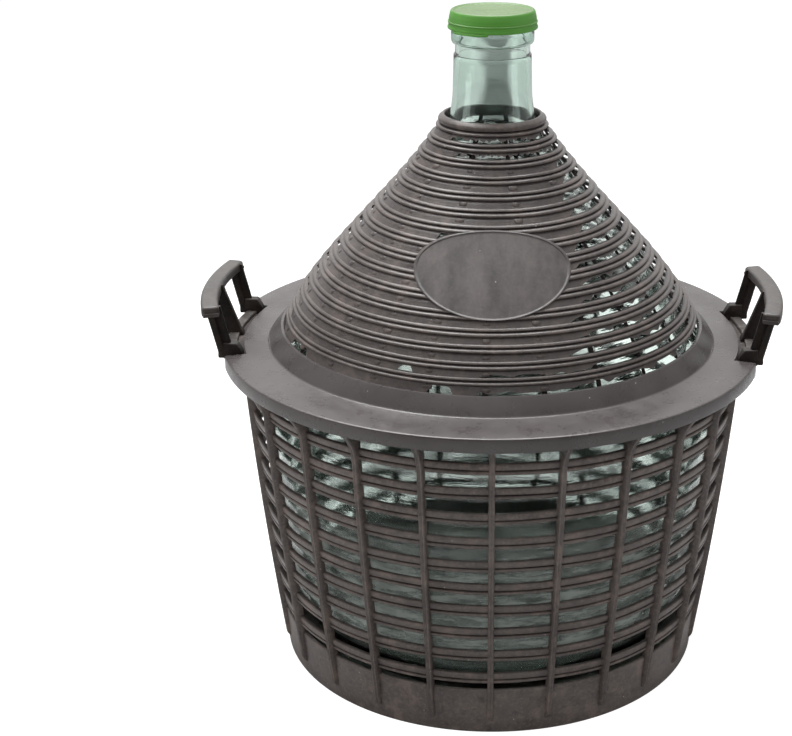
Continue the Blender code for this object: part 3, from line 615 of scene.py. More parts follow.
# Cover

COVER = ("cover_body", "cover", "cover_plastic")

# Rings, each a groove line with a bead above and a band below
RING_COUNT = 16
TOP_GROOVE = CONE_TOP + 1.8
LOWEST_GROOVE = CONE_BASE + 12.45
RING_PITCH = (TOP_GROOVE - LOWEST_GROOVE) / (RING_COUNT - 1)
RING_DEPTH = 2.6
RING_TOP = 2.3
RING_BOTTOM = -2.95
RING_OUTLINE = (
    (RING_TOP, -RING_DEPTH), (RING_TOP, -1.2), (2.15, -0.5), (1.8, -0.1), (1.3, 0.05),
    (0.9, 0.0), (0.65, -0.25), (0.5, -1.0), (0.25, -2.2), (-0.2, -2.2), (-0.5, -1.0),
    (-0.7, -0.2), (-1.1, 0.3), (-1.6, 0.4), (-2.1, 0.2), (-2.5, -0.3), (-2.75, -1.0),
    (-2.9, -2.0), (RING_BOTTOM, -RING_DEPTH),
)
RING_WAVE = (0.14, 0.16)
COLLAR_WAVE = (0.05, 0.05)
COLLAR_HOLE = NECK_RADIUS + 6.4
COLLAR_JOIN = 4
COLLAR_EDGE = (
    (0.0, -0.6), (0.5, 0.0), (1.3, 0.0), (2.0, -0.3), (2.8, -1.2), (4.0, -1.9), (4.5, -2.7),
    (4.7, -3.6),
)

# Windows between the rings, and the bars across them
WINDOW_TOP = RING_BOTTOM
WINDOW_BOTTOM = RING_TOP - RING_PITCH
SPARSE_ROWS = 7
BAR_WIDTH = 3.4
BAR_UNEVENNESS = 0.25
BAR_DEPTH = 1.1
BAR_SET_BACK = 1.7
BAR_ROUND = 1.2
BAR_CROWN = 0.5
BAR_OVERLAP = 0.5
BAR_SILL = 3.6

# The web that closes windows at the front left, by row from the top down
WEB_START = -171.0
WEB_ENDS = (-134, -124, -35, -41, -49, -50.5, -49, -57, -58, -59, -62, -63, -65, -67, -67, -70)
WEB_SLITS = ((6, -114, -106), (7, -118, -114), (14, -114, -109), (15, -105, -98), (15, -157, -146))
WEB_STEPS = 480
WEB_THICKNESS = 0.9
WEB_SET_BACK = 1.5
WEB_LEAN = 0.6
WEB_OVERLAP = 0.25
WEB_SILL = 4.2
WEB_RUN_IN = 4.0
WEB_RUN_OUT = 9.0
SLIT_RUN = 1.2
SLIT_OPENING = 0.85

# Shares of a window that the web closes where it is thin, and that its rags hang down
# in the open windows, with the angles from and to which they differ
THIN_WEB = 0.66
THIN_WEB_START = -92.0
RAGS = 0.12
MOST_RAGS = 0.5
FRONT_RAGS = 0.16
TOP_RAGS = 0.45
RIGHT_SIDE = (-30.0, 30.0)
RIGHT_FRONT = (-75.0, -30.0)
TOP_RAGS_END = -25.0

# Lumps that the bars leave in the closed windows: rise, sink and narrowing of each loop
KNUCKLE_HALF_WIDTH = 3.3
KNUCKLE_DEPTH = 1.6
KNUCKLE_ROUND = 0.7
KNUCKLE_CROWN = 0.15
KNUCKLE_LOOPS = ((-1.6, 0.5, 0.8), (-0.9, 0.0, 0.2), (0.7, 0.0, 0.0), (1.5, 0.5, 0.7))

# The oval plate, and its rim and field as shares of its size with their heights
PLATE_ANGLE = FIRST_RIB
PLATE_HALF_WIDTH = 53.0
PLATE_HALF_HEIGHT = 24.5
PLATE_CENTRE = CONE_BASE + 71.5
PLATE_STEPS = 96
PLATE_CLEARANCE = 0.6
PLATE_LEVELS = (
    (1.0, -4.0), (1.0, 0.3), (0.996, 0.75), (0.986, 0.95), (0.974, 0.85),
    (0.966, 0.4), (0.960, 0.1), (0.94, 0.1), (0.8, 0.15), (0.65, 0.2), (0.5, 0.2),
    (0.35, 0.2), (0.2, 0.2), (0.08, 0.2), (0.001, 0.2),
)

# The smooth band's foot on the flange and its head under the rings, the flange's
# skirt, and the notches in the flange for the handles' feet
BAND_FOOT = ((2.2, 0.0), (1.1, 0.3), (0.3, 1.2), (0.0, 2.3))
BAND_HEAD = ((-7.4, 3.9), (-7.6, 4.3), (-8.0, 4.6), (-9.8, 4.4), (-11.4, 2.2))
SKIRT_WALL = 2.2
SKIRT_EDGE = ((0.0, -1.1), (-0.25, -0.45), (-0.8, -0.08), (-1.4, 0.0))
NOTCH_INNER = FLANGE_RADIUS - 15.8
NOTCH_REACH = 54.3
FOOT_INNER = FLANGE_RADIUS - 16.0


def groove(row):
    return TOP_GROOVE - RING_PITCH * row


def window(row, overlap, sill):
    """The top and bottom of what fills a row's windows. The lowest row ends on the sill."""
    top = groove(row) + WINDOW_TOP + overlap
    if row == RING_COUNT - 1:
        return top, CONE_BASE + sill
    return top, groove(row) + WINDOW_BOTTOM - overlap


def ring_outline(row):
    """A ring's outline on the cone. The top one carries the collar."""
    line = groove(row)
    points = [(crest(line + up) + out, line + up) for up, out in RING_OUTLINE]
    if row > 0:
        return points
    collar = [(COLLAR_HOLE, line + WINDOW_TOP), *moved(COLLAR_EDGE, COLLAR_HOLE, COVER_HIGH[2])]
    return collar + points[COLLAR_JOIN:-1] + [(COLLAR_HOLE + 0.5, line + WINDOW_TOP)]


def make_rings(pile):
    for row in range(RING_COUNT):
        turn(pile, ring_outline(row), wave=RING_WAVE if row else COLLAR_WAVE)
        pile.points[-1] = sink_under_plate(pile.points[-1])


def sink_under_plate(points):
    """Moves what lies under the oval plate inwards, so that it stays under its face."""
    radius = radius_of(points)
    angle = np.arctan2(points[:, 1], points[:, 0]) - math.radians(PLATE_ANGLE)
    across = radius * np.sin(angle) / PLATE_HALF_WIDTH
    up = (points[:, 2] - PLATE_CENTRE) / PLATE_HALF_HEIGHT
    inside = (across**2 + up**2 < 0.97) & (np.cos(angle) > 0.0)
    allowed = crest(points[:, 2]) - PLATE_CLEARANCE
    share = np.where(inside & (radius > allowed), allowed / radius, 1.0)
    return np.column_stack([points[:, 0] * share, points[:, 1] * share, points[:, 2]])


def between(angles, limits):
    return (angles > limits[0]) & (angles < limits[1])


def web_cover(row, angles):
    """The share of the window's height that the web closes, at each angle."""
    slow = smooth_noise(angles, span=9.0)
    fine = smooth_noise(angles, span=2.6)
    # The closed part, with a ragged edge to the right
    end = WEB_ENDS[row] + 3.0 * slow
    right = np.clip((end + WEB_RUN_OUT - angles) / WEB_RUN_OUT, 0.0, 1.0)
    left = np.clip((angles - WEB_START) / WEB_RUN_IN, 0.0, 1.0)
    closed = np.minimum(right, left)
    if row > RING_COUNT - 3:
        thin = np.minimum(closed, THIN_WEB + 0.14 * fine)
        closed = np.where(angles > THIN_WEB_START, thin, closed)
    # Rags that hang in the open windows
    rags = np.clip(RAGS + 0.3 * fine + 0.1 * slow, 0.0, MOST_RAGS)
    rags = np.where(between(angles, RIGHT_SIDE), 0.3 * rags, rags)
    if row > SPARSE_ROWS:
        longer = FRONT_RAGS + rags + 0.2 * np.abs(fine)
        rags = np.where(between(angles, RIGHT_FRONT), longer, rags)
    if row < 2:
        longer = np.clip(TOP_RAGS + 0.3 * fine, 0.1, 0.8)
        rags = np.where(between(angles, (WEB_ENDS[row], TOP_RAGS_END)), longer, rags)
    cover = np.maximum(closed * 1.12 + 0.12 * fine * (closed < 0.98), rags)
    for slit_row, start, stop in WEB_SLITS:
        if slit_row == row:
            inside = np.clip(np.minimum(angles - start, stop - angles) / SLIT_RUN, 0.0, 1.0)
            cover = cover * (1.0 - SLIT_OPENING * inside)
    return np.clip(cover, 0.0, 1.0)


def make_webs(pile):
    """The thin skins that hang from each ring into the windows under it."""
    angles = np.linspace(-180.0, 180.0, WEB_STEPS + 1)[:-1]
    for row in range(RING_COUNT):
        top, bottom = window(row, WEB_OVERLAP, WEB_SILL)
        drop = (top - bottom) * web_cover(row, angles)
        face = []
        for share in (0.0, 0.5, 1.0):
            height = top - drop * share
            face.append((crest(height) - WEB_SET_BACK + WEB_LEAN * share, height))
        back = [(radius - WEB_THICKNESS, height) for radius, height in reversed(face)]
        loops = [polar(radius, angles, height) for radius, height in face + back]
        pile.grid(np.stack(loops, axis=1), wrap_rows=True, wrap_columns=True, flip=True)


def bar_angles(row):
    """Every column has a bar, but in the sparse rows at the top only every second."""
    if row < SPARSE_ROWS:
        return [FIRST_BAR + COLUMN_STEP * index for index in range(1, COLUMNS, 2)]
    return [FIRST_BAR + COLUMN_STEP * index for index in range(COLUMNS)]


def make_bars(pile):
    for row in range(RING_COUNT):
        top, bottom = window(row, BAR_OVERLAP, BAR_SILL)
        for angle in bar_angles(row):
            half = BAR_WIDTH / 2.0 + random.uniform(-BAR_UNEVENNESS, BAR_UNEVENNESS)
            loops = []
            for height in (bottom, (top + bottom) / 2.0, top):
                outer = crest(height) - BAR_SET_BACK
                inner = outer - BAR_DEPTH
                loops.append(bar_loop(angle, outer, inner, half, height, BAR_ROUND, BAR_CROWN))
            block(pile, loops)


def make_knuckles(pile):
    """The lumps that the bars leave in the web over the closed windows."""
    for row in range(2, RING_COUNT):
        middle = groove(row) + (WINDOW_TOP + WINDOW_BOTTOM) / 2.0
        for angle in bar_angles(row):
            place = (angle + 180.0) % 360.0 - 180.0
            if not WEB_START + 4.0 < place < WEB_ENDS[row] - 4.0:
                continue
            half = KNUCKLE_HALF_WIDTH + random.uniform(-0.7, 0.6)
            bulge = random.uniform(0.3, 0.9)
            loops = []
            for rise, sink, narrow in KNUCKLE_LOOPS:
                height = middle + rise
                outer = crest(height) - WEB_SET_BACK + bulge - sink
                inner = outer - KNUCKLE_DEPTH
                shape = (half - narrow, height, KNUCKLE_ROUND, KNUCKLE_CROWN)
                loops.append(bar_loop(angle, outer, inner, *shape))
            block(pile, loops)


def make_flange(pile):
    """The flange: a whole inner part up to the band, and two outer arcs with the skirt."""
    bottom = LIP_TOP + SEAT_GAP
    top = FLANGE_TOP
    foot = CONE_BASE_RADIUS + 7.4
    inner = [
        (NOTCH_INNER, bottom), (NOTCH_INNER, top), *moved(BAND_FOOT, foot, top),
        *moved(BAND_HEAD, foot, CONE_BASE), (foot - 3.7, top - 1.6), (foot - 2.5, bottom),
    ]
    turn(pile, inner)
    edge = ROUND_FLANGE
    outer = [
        (NOTCH_INNER, bottom), (edge - SKIRT_WALL, bottom), (edge - SKIRT_WALL, SKIRT_BOTTOM),
        (edge - 0.2, SKIRT_BOTTOM), (edge, SKIRT_BOTTOM + 0.4), *moved(SKIRT_EDGE, edge, top),
        (NOTCH_INNER, top),
    ]
    notch = math.degrees(math.atan2(NOTCH_REACH, FOOT_INNER))
    for middle in (90.0, 270.0):
        turn(pile, outer, middle - 90.0 + notch, middle + 90.0 - notch, steps=120)


def plate_points(share, offset):
    """A loop round the oval plate at a share of its size."""
    around = np.linspace(0.0, 2.0 * math.pi, PLATE_STEPS + 1)[:-1]
    height = PLATE_CENTRE + PLATE_HALF_HEIGHT * share * np.sin(around)
    across = PLATE_HALF_WIDTH * share * np.cos(around)
    radius = crest(height) + offset
    angle = PLATE_ANGLE + np.degrees(np.arcsin(across / radius))
    return polar(radius, angle, height)


def make_plate(pile):
    """The bare oval plate: a shallow rounded rim round a smooth field."""
    points = np.stack([plate_points(share, offset) for share, offset in PLATE_LEVELS])
    pile.grid(points, wrap_columns=True, flip=True)


def make_cover():
    surface, flange = plastic("cover_plastic"), plastic("flange_plastic")
    cone = [make_rings, make_webs, make_knuckles]
    make_piece("cover_rings", surface, COVER, 55.0, cone, recess=cover_recess)
    # The bars take near black plastic: painted shade
    make_piece("cover_bars", plastic("bar_painted_shade"), COVER, 55.0, [make_bars])
    make_piece("cover_flange", flange, COVER, 35.0, [make_flange], recess=skirt_recess)
    make_piece("cover_plate", plastic("plate_plastic"), COVER, 45.0, [make_plate])


# Basket

BASKET = ("basket_body", "basket", "basket_plastic")

# Slats: the heights of their groove lines, and their outline about such a line
SLAT_GROOVES = (212.2, 193.7, 175.0, 156.0, 137.0, 119.3, 101.5, 83.0, 64.0, 44.8)
SLAT_OUTLINE = (
    (5.5, -WALL_THICKNESS), (5.5, -0.6), (5.2, -0.15), (4.6, 0.15), (3.0, 0.3),
    (1.5, 0.2), (0.8, -0.15), (0.5, -1.0), (0.1, -1.7), (-0.3, -1.0),
    (-0.6, 0.0), (-1.3, 0.3), (-2.1, 0.15), (-2.7, -0.3), (-3.0, -0.9),
    (-3.0, -WALL_THICKNESS),
)
SLAT_WAVE = (0.25, 0.45, 12)

# Ribs, with a foot that grows out of the band and a flare under the lip
RIB_WIDTH = 4.2
RIB_ROUND = 0.8
RIB_CROWN = -0.7
RIB_LEAN = 0.3
RIB_FOOT = 8.0
RIB_FOOT_TOP = 14.0
RIB_STRAIGHT = 18.0
RIB_RIM_GAP = 0.5
FLARE_START = LIP_TOP - 29.0
FLARE_END = LIP_TOP - 9.0
FLARE_POWER = 2.0
RIM_BOTTOM = LIP_TOP - 10.0
LIP_BOTTOM = LIP_TOP - LIP_THICKNESS

# The plain band's upper edge, and the recessed floor with its drain hole
BAND_EDGE = (
    (2.9, -1.4), (2.8, -0.7), (2.3, -0.15), (1.6, 0.0), (0.4, 0.0), (-0.1, -0.4), (-0.3, -1.0),
)
FLOOR_LOW = 1.0
FLOOR_HIGH = 3.5
DRAIN_RADIUS = 30.0


def make_slats(pile):
    for line in SLAT_GROOVES:
        outline = [(hull(line + up) - RIB_DEPTH + out, line + up) for up, out in SLAT_OUTLINE]
        turn(pile, outline, wave=SLAT_WAVE)


def rib_outer(height):
    """The radius of a rib's outer edge, flaring out under the lip."""
    if height < RIB_FOOT_TOP:
        share = (height - RIB_FOOT) / (RIB_FOOT_TOP - RIB_FOOT)
        return hull(height) - RIB_DEPTH * (1.0 - share) ** 1.5
    most = LIP_RADIUS - RIB_RIM_GAP
    share = min(max((height - FLARE_START) / (FLARE_END - FLARE_START), 0.0), 1.0)
    flare = (most - hull(FLARE_END)) * share**FLARE_POWER
    return min(hull(min(height, FLARE_END)) + flare, most)


def make_ribs(pile):
    heights = [
        *np.linspace(RIB_FOOT, RIB_FOOT_TOP, 5), *np.linspace(RIB_STRAIGHT, FLARE_START, 24),
        *np.linspace(FLARE_START + 2.0, LIP_BOTTOM, 16),
    ]
    for index in range(COLUMNS):
        angle = FIRST_RIB + COLUMN_STEP * index
        lean = random.uniform(-RIB_LEAN, RIB_LEAN, 2)
        loops = []
        for height in heights:
            outer = rib_outer(height)
            inner = hull(min(height, FLARE_END)) - RIB_DEPTH - WALL_THICKNESS
            share = height / LIP_TOP
            sway = math.degrees((lean[0] * (1.0 - share) + lean[1] * share) / BODY_RADIUS)
            shape = (RIB_WIDTH / 2.0, height, RIB_ROUND, RIB_CROWN)
            loops.append(bar_loop(angle + sway, outer, inner, *shape))
        block(pile, loops)


def make_band(pile):
    """The foot ring, the recessed floor and the plain band."""
    foot = HULL_BASE - 1.4
    outline = [
        (foot - 0.8, 0.0), (foot - 0.2, 0.25), (foot, 0.8), (foot + 0.2, RIB_FOOT),
        *moved(BAND_EDGE, foot, BAND_TOP), (foot - 4.8, 5.0), (foot - 6.4, FLOOR_HIGH),
        (DRAIN_RADIUS, FLOOR_HIGH), (DRAIN_RADIUS, FLOOR_LOW), (foot - 9.5, FLOOR_LOW),
        (foot - 9.2, 0.0),
    ]
    turn(pile, outline)


def make_rim(pile):
    outer = hull(RIM_BOTTOM) - RIB_DEPTH
    inner = outer - WALL_THICKNESS
    outline = [
        (inner, RIM_BOTTOM), (outer, RIM_BOTTOM), (outer + 0.3, LIP_BOTTOM),
        (LIP_RADIUS, LIP_BOTTOM), (LIP_RADIUS, LIP_TOP), (inner + 0.3, LIP_TOP),
    ]
    turn(pile, outline)


def make_basket():
    surface = plastic("basket_plastic")
    walls = [make_slats, make_band, make_rim]
    make_piece("basket_slats", surface, BASKET, 55.0, walls, recess=basket_recess)
    make_piece("basket_ribs", surface, BASKET, 50.0, [make_ribs])


# Handles, built at +X and turned for the other side

GRIP_INNER = FLANGE_RADIUS + 1.4
GRIP_DEPTH = 6.5
GRIP_BOTTOM = GRIP_TOP - GRIP_DEPTH
GRIP_WALL = 2.3
GRIP_ROUND = 2.4
GRIP_CORNER = 2.6
GRIP_END_SET_BACK = 0.35
GRIP_REACH = 57.0
GRIP_END_SHARES = (0.0, 0.3, 0.5, 0.7, 0.85, 0.95, 1.0)
ROLL_SIDE = ((1.0, -0.6), (0.4, 0.2), (0.6, 1.4), (1.4, 2.0))

# Posts: where the inner side stands at foot and head, half the width and half the web,
# and how much they grow at shares of their height
UPRIGHT_SPREAD = 48.5
END_POST = (FLANGE_RADIUS - 14.5, FLANGE_RADIUS - 5.5, 4.0, 1.6)
MIDDLE_POST = (FLANGE_RADIUS - 12.6, FLANGE_RADIUS + 1.0, 3.0, None)
POST_HALF_DEPTH = 5.25
POST_GROWTH = (
    (0.0, 1.3), (0.045, 1.1), (0.09, 0.25), (0.14, 0.0), (0.5, 0.0), (0.85, 0.0), (1.0, 0.4),
)
POST_EDGE = 0.8

# Feet: the plate, the tangs under it and the blocks on it with rise, reach and growth
FOOT_BOTTOM = LIP_TOP + SEAT_GAP
FOOT_THICKNESS = 2.2
FOOT_TOP = FOOT_BOTTOM + FOOT_THICKNESS
FOOT_REACH = UPRIGHT_SPREAD + 4.4
FOOT_PLATE_INNER = FLANGE_RADIUS - 10.6
FOOT_PLATE_OUTER = FLANGE_RADIUS - 2.9
FOOT_EDGE = 0.6
BLOCK_OUTER = 7.0
BLOCK_HALF_WIDTH = 4.2
BLOCK_LEVELS = ((0.0, 20.6, 0.0), (4.5, 20.4, 0.0), (10.4, 17.2, 0.0), (11.2, 16.4, -0.5))
TANG_RADIUS = FLANGE_RADIUS - 11.4
TANG_SPREAD = 0.62 * UPRIGHT_SPREAD
TANG_SECTION = (1.2, 6.0, 0.4)


def corner_arc(x, y, radius, start, steps):
    """Points on a quarter of a circle."""
    angles = [math.radians(start + 90.0 * step / steps) for step in range(steps + 1)]
    return [(x + radius * math.cos(angle), y + radius * math.sin(angle)) for angle in angles]


def channel_top(inner, outer, top):
    """The outer side of the grip's section, up over its rounded top."""
    radius = GRIP_ROUND
    return [
        (outer, GRIP_BOTTOM), *corner_arc(outer - radius, top - radius, radius, 0.0, 4),
        *corner_arc(inner + radius, top - radius, radius, 90.0, 4), (inner, GRIP_BOTTOM),
    ]


def make_grip(pile, around):
    """The channel-shaped grip, with rounded ends that are rolled in at the bottom."""
    bottom = GRIP_BOTTOM
    hollow_inner, hollow_outer = GRIP_INNER + GRIP_WALL, GRIP_OUTER - GRIP_WALL
    hollow = [
        (hollow_inner, bottom), (hollow_inner, GRIP_TOP - GRIP_WALL),
        (hollow_outer, GRIP_TOP - GRIP_WALL), (hollow_outer, bottom),
    ]
    reach = math.degrees(math.asin(GRIP_REACH / ((GRIP_INNER + GRIP_OUTER) / 2.0)))
    half = reach - GRIP_END_SET_BACK
    wall = math.degrees(GRIP_WALL / GRIP_OUTER)
    outline = channel_top(GRIP_INNER, GRIP_OUTER, GRIP_TOP) + hollow
    turn(pile, outline, around - half + wall, around + half - wall, steps=40)
    outer_side = [(GRIP_OUTER - inset, bottom + rise) for inset, rise in ROLL_SIDE]
    inner_side = [(GRIP_INNER + inset, bottom + rise) for inset, rise in ROLL_SIDE]
    roll = inner_side[:1] + outer_side + inner_side[:0:-1]
    for side in (-1.0, 1.0):
        loops = []
        for share in GRIP_END_SHARES:
            rounding = 1.0 - math.sqrt(1.0 - share * share)
            inset, corner = GRIP_ROUND * rounding, GRIP_CORNER * rounding
            section = channel_top(GRIP_INNER + corner, GRIP_OUTER - corner, GRIP_TOP - inset)
            angle = around + side * (half - wall * (1.0 - share))
            loops.append([polar(radius, angle, height) for radius, height in section])
        pile.close(pile.grid(loops, wrap_columns=True, flip=side < 0.0), flip=side < 0.0)
        ends = (around + side * (half - 0.5 * wall), around + side * (half + GRIP_END_SET_BACK))
        turn(pile, roll, *sorted(ends), steps=3)


def rounded_rectangle(half_x, half_y, radius):
    x, y = half_x - radius, half_y - radius
    return [
        *corner_arc(x, y, radius, 0.0, 3), *corner_arc(-x, y, radius, 90.0, 3),
        *corner_arc(-x, -y, radius, 180.0, 3), *corner_arc(x, -y, radius, 270.0, 3),
    ]


def post_section(half_x, half_y, web):
    """A post seen from above: a thick outer half, and an inner half as thin as the web."""
    if web is None:
        return rounded_rectangle(half_x, half_y, radius=1.0)
    edge = POST_EDGE
    side = [
        (half_x, half_y - edge), (half_x - edge, half_y), (0.6, half_y), (-0.1, half_y - edge),
        (-0.3, web + 0.5), (-0.9, web), (0.5 - half_x, web), (-half_x, web - 0.5),
    ]
    other = [(x, -y) for x, y in reversed(side)]
    return other[-1:] + side + other[:-1]


def make_post(pile, around, spread, foot_x, head_x, half_width, web):
    """A leaning post with rounded edges from the foot plate into the grip."""
    foot = FOOT_TOP - 1.4
    head = GRIP_TOP - GRIP_WALL + 1.0
    loops = []
    for share, grow in POST_GROWTH:
        x = foot_x + (head_x - foot_x) * share + POST_HALF_DEPTH
        wider = grow * 0.6
        section = post_section(POST_HALF_DEPTH + wider, half_width + wider, web)
        loops.append(turned(section, x, spread, around, foot + (head - foot) * share))
    block(pile, loops)


def make_foot_plate(pile, around):
    inner, outer, top = FOOT_PLATE_INNER, FOOT_PLATE_OUTER, FOOT_TOP
    outline = [
        (inner, FOOT_BOTTOM), (outer, FOOT_BOTTOM), (outer, top - FOOT_EDGE),
        (outer - FOOT_EDGE, top), (inner + FOOT_EDGE, top), (inner, top - FOOT_EDGE),
    ]
    half = math.degrees(math.atan2(FOOT_REACH, FOOT_INNER))
    turn(pile, outline, around - half, around + half, steps=40)


def make_foot(pile, around, spread):
    """The block at the foot of an end post, with its ledge on the inner side."""
    loops = []
    for rise, inner, grow in BLOCK_LEVELS:
        half = (inner - BLOCK_OUTER) / 2.0
        section = rounded_rectangle(half, BLOCK_HALF_WIDTH + grow, radius=0.7)
        x = FLANGE_RADIUS - BLOCK_OUTER - half
        loops.append(turned(section, x, spread, around, FOOT_BOTTOM + rise))
    block(pile, loops)


def make_tangs(pile, around):
    section = rounded_rectangle(*TANG_SECTION)
    for spread in (-TANG_SPREAD, TANG_SPREAD):
        heights = (HANDLE_LOW[2], FOOT_BOTTOM + 1.2)
        block(pile, [turned(section, TANG_RADIUS, spread, around, height) for height in heights])


def make_handles():
    surface = plastic("handle_plastic")
    # The posts take a darker copy of the handle plastic: painted shade
    shaded = plastic("leg_painted_shade")
    for name, around in (("handle_right", 0.0), ("handle_left", 180.0)):
        pile, legs = Pile(), Pile()
        make_grip(pile, around)
        make_foot_plate(pile, around)
        make_tangs(pile, around)
        for spread in (-UPRIGHT_SPREAD, UPRIGHT_SPREAD):
            make_post(legs, around, spread, *END_POST)
            make_foot(legs, around, spread)
        make_post(legs, around, 0.0, *MIDDLE_POST)
        place = ("basket_body", name, "handle_plastic")
        pile.build(name + "_look", surface, *place, sharp=45.0)
        legs.build(name + "_legs_look", shaded, *place, sharp=45.0)


# Bottle

BOTTLE = ("bottle_body", "bottle", "pale_green_glass")
GLASS_THICKNESS = 2.0
GLASS_HEEL_THICKNESS = 5.0
GLASS_FIT = 0.972
BASE_RADIUS = 92.0
HEEL_TOP = 86.0
HEEL_STEPS = 16
SHOULDER_GAP = 10.0
NECK_RISE = 49.2
NECK_LEDGE = CONE_TOP + NECK_RISE
BEAD_LOW = CONE_TOP + 57.0
BEAD_HIGH = CONE_TOP + 66.0

# Parts of the neck's outline, out from its radius and up from its root, its ledge,
# its bead's foot and head, and the mouth
OUTER_NECK = ((3.8, 4.0), (1.2, 17.0), (0.5, 30.0), (0.0, NECK_RISE))
INNER_NECK = ((0.8, 4.0), (-1.9, 17.0), (-3.2, 32.0), (-3.6, 48.0))
LEDGE = ((-0.15, 0.25), (-1.0, 0.4), (-1.1, 3.8))
BEAD_FOOT = ((-1.0, -0.1), (0.9, 0.3), (1.5, 1.4), (1.7, 3.0))
BEAD_HEAD = ((1.7, -2.0), (1.5, -0.8), (1.1, 0.0))
MOUTH_EDGE = ((1.1, -1.0), (0.8, -0.3), (0.2, 0.0))


def spline(points, steps):
    """A smooth curve through the points, with even steps between each two."""
    points = np.array(points, float)
    padded = np.vstack([2 * points[0] - points[1], points, 2 * points[-1] - points[-2]])
    curve = []
    for index in range(1, len(padded) - 2):
        before, here, there, after = padded[index - 1:index + 3]
        for step in range(steps):
            t = step / steps
            curve.append(0.5 * (
                2 * here + (there - before) * t
                + (2 * before - 5 * here + 4 * there - after) * t**2
                + (3 * here - before - 3 * there + after) * t**3
            ))
    curve.append(points[-1])
    return [tuple(point) for point in curve]


def glass_wall(height):
    return (hull(height) - RIB_DEPTH - WALL_THICKNESS) * GLASS_FIT


def glass_side(inset, heel_inset):
    """The bottle's base with its heel, and the points of its wall from there to the neck."""
    rest = BOTTLE_LOW[2] + heel_inset
    base = BASE_RADIUS - heel_inset
    points = [(0.0, rest + 3.0), (base * 0.45, rest + 2.2), (base * 0.85, rest + 0.4)]
    for step in range(HEEL_STEPS + 1):
        angle = math.radians(90.0 * step / HEEL_STEPS)
        here = heel_inset + (inset - heel_inset) * math.sin(angle) ** 2
        points.append((
            base + (glass_wall(HEEL_TOP) - here - base) * math.sin(angle),
            rest + (HEEL_TOP - rest) * (1.0 - math.cos(angle)),
        ))
    upper = []
    for share in (0.25, 0.5, 0.75, 0.92):
        height = HEEL_TOP + (HULL_TOP - HEEL_TOP) * share
        upper.append((glass_wall(height) - inset, height))
    for rise, drop in ((-20.0, 14.5), (-7.0, 20.0), (4.0, 30.0), (16.0, 43.0)):
        upper.append((BODY_RADIUS - drop - inset, LIP_TOP + rise - inset / 2.0))
    for share in (0.2, 0.42, 0.62, 0.78, 0.92):
        height = CONE_BASE + CONE_HEIGHT * share
        upper.append((crest(height) - SHOULDER_GAP - inset, height))
    return points, upper


def make_glass_body(pile):
    neck = NECK_RADIUS
    mouth = BOTTLE_HIGH[2]
    base, wall = glass_side(0.0, 0.0)
    outer_wall = wall + moved(OUTER_NECK, neck, CONE_TOP)
    finish = [
        *moved(LEDGE, neck, NECK_LEDGE), *moved(BEAD_FOOT, neck, BEAD_LOW),
        *moved(BEAD_HEAD, neck, BEAD_HIGH), *moved(MOUTH_EDGE, neck, mouth),
    ]
    outer = base[:-1] + spline([base[-1]] + outer_wall, 6) + finish
    base, wall = glass_side(GLASS_THICKNESS, GLASS_HEEL_THICKNESS)
    inner_wall = wall + moved(INNER_NECK, neck, CONE_TOP) + [(neck - 3.6, mouth - 0.6)]
    inner = base[:-1] + spline([base[-1]] + inner_wall, 6) + [(neck - 3.2, mouth)]
    turn(pile, outer + inner[::-1], steps=192)


def make_bottle():
    surface = make_glass("pale_green_glass")
    make_piece("bottle_glass", surface, BOTTLE, 60.0, [make_glass_body], merge=True)


# Cap. Its lower edge stands higher than in the CAD, as in the photo.

CAP = ("cap_body", "cap", "green_plastic")
CAP_BOTTOM = CAP_LOW[2] + 3.4
CAP_RIM = (
    (-1.5, -0.9), (-0.8, -0.7), (-0.2, -0.15), (0.3, 0.0), (1.0, -0.05), (1.7, -0.5),
    (2.2, -1.3), (2.9, -4.3), (3.1, -5.2),
)
CAP_SIDE = (
    (3.4, 5.3), (3.9, 4.9), (3.95, 4.4), (3.5, 4.0), (3.5, 2.4), (3.8, 1.8), (4.1, 1.2),
    (4.1, 0.3), (3.8, 0.0), (1.5, 0.0),
)
PULL_START = -150.0
PULL_END = -95.0
PULL_REACH = 1.4
PULL_BOTTOM = CAP_BOTTOM - 1.3


def make_cap_body(pile):
    """The cap's top with its rim, its side, and the plug that sits in the neck."""
    neck, top, bottom = NECK_RADIUS, CAP_HIGH[2], CAP_BOTTOM
    seat = BOTTLE_HIGH[2] + SEAT_GAP
    outline = [
        (0.0, top - 1.3), (2.0, top - 1.2), (3.0, top - 0.9), *moved(CAP_RIM, neck, top),
        *moved(CAP_SIDE, neck, bottom), (neck + 1.5, seat), (neck - 3.9, seat),
        (neck - 3.9, bottom + 2.6), (neck - 5.4, bottom + 2.6), (neck - 5.4, seat), (0.0, seat),
    ]
    turn(pile, outline, steps=128)


def make_pull(pile):
    """The pull lip under a part of the cap's edge, with rounded ends."""
    root, low = NECK_RADIUS + 2.2, PULL_BOTTOM
    middle, half = (PULL_START + PULL_END) / 2.0, (PULL_END - PULL_START) / 2.0
    rows = []
    for angle in np.linspace(PULL_START, PULL_END, 25):
        share = abs((angle - middle) / half)
        reach = NECK_RADIUS + 3.9 + PULL_REACH * math.sqrt(max(1.0 - share**6, 0.0))
        section = [
            (root, low), (reach - 0.3, low), (reach, low + 0.3),
            (reach, low + 1.0), (reach - 0.4, low + 1.5), (root, low + 1.5),
        ]
        rows.append([polar(radius, angle, height) for radius, height in section])
    pile.close(pile.grid(rows, wrap_columns=True))


def make_cap():
    surface = make_green("green_plastic")
    make_piece("cap_body_look", surface, CAP, 40.0, [make_cap_body], merge=True)
    make_piece("cap_pull_look", surface, CAP, 45.0, [make_pull])


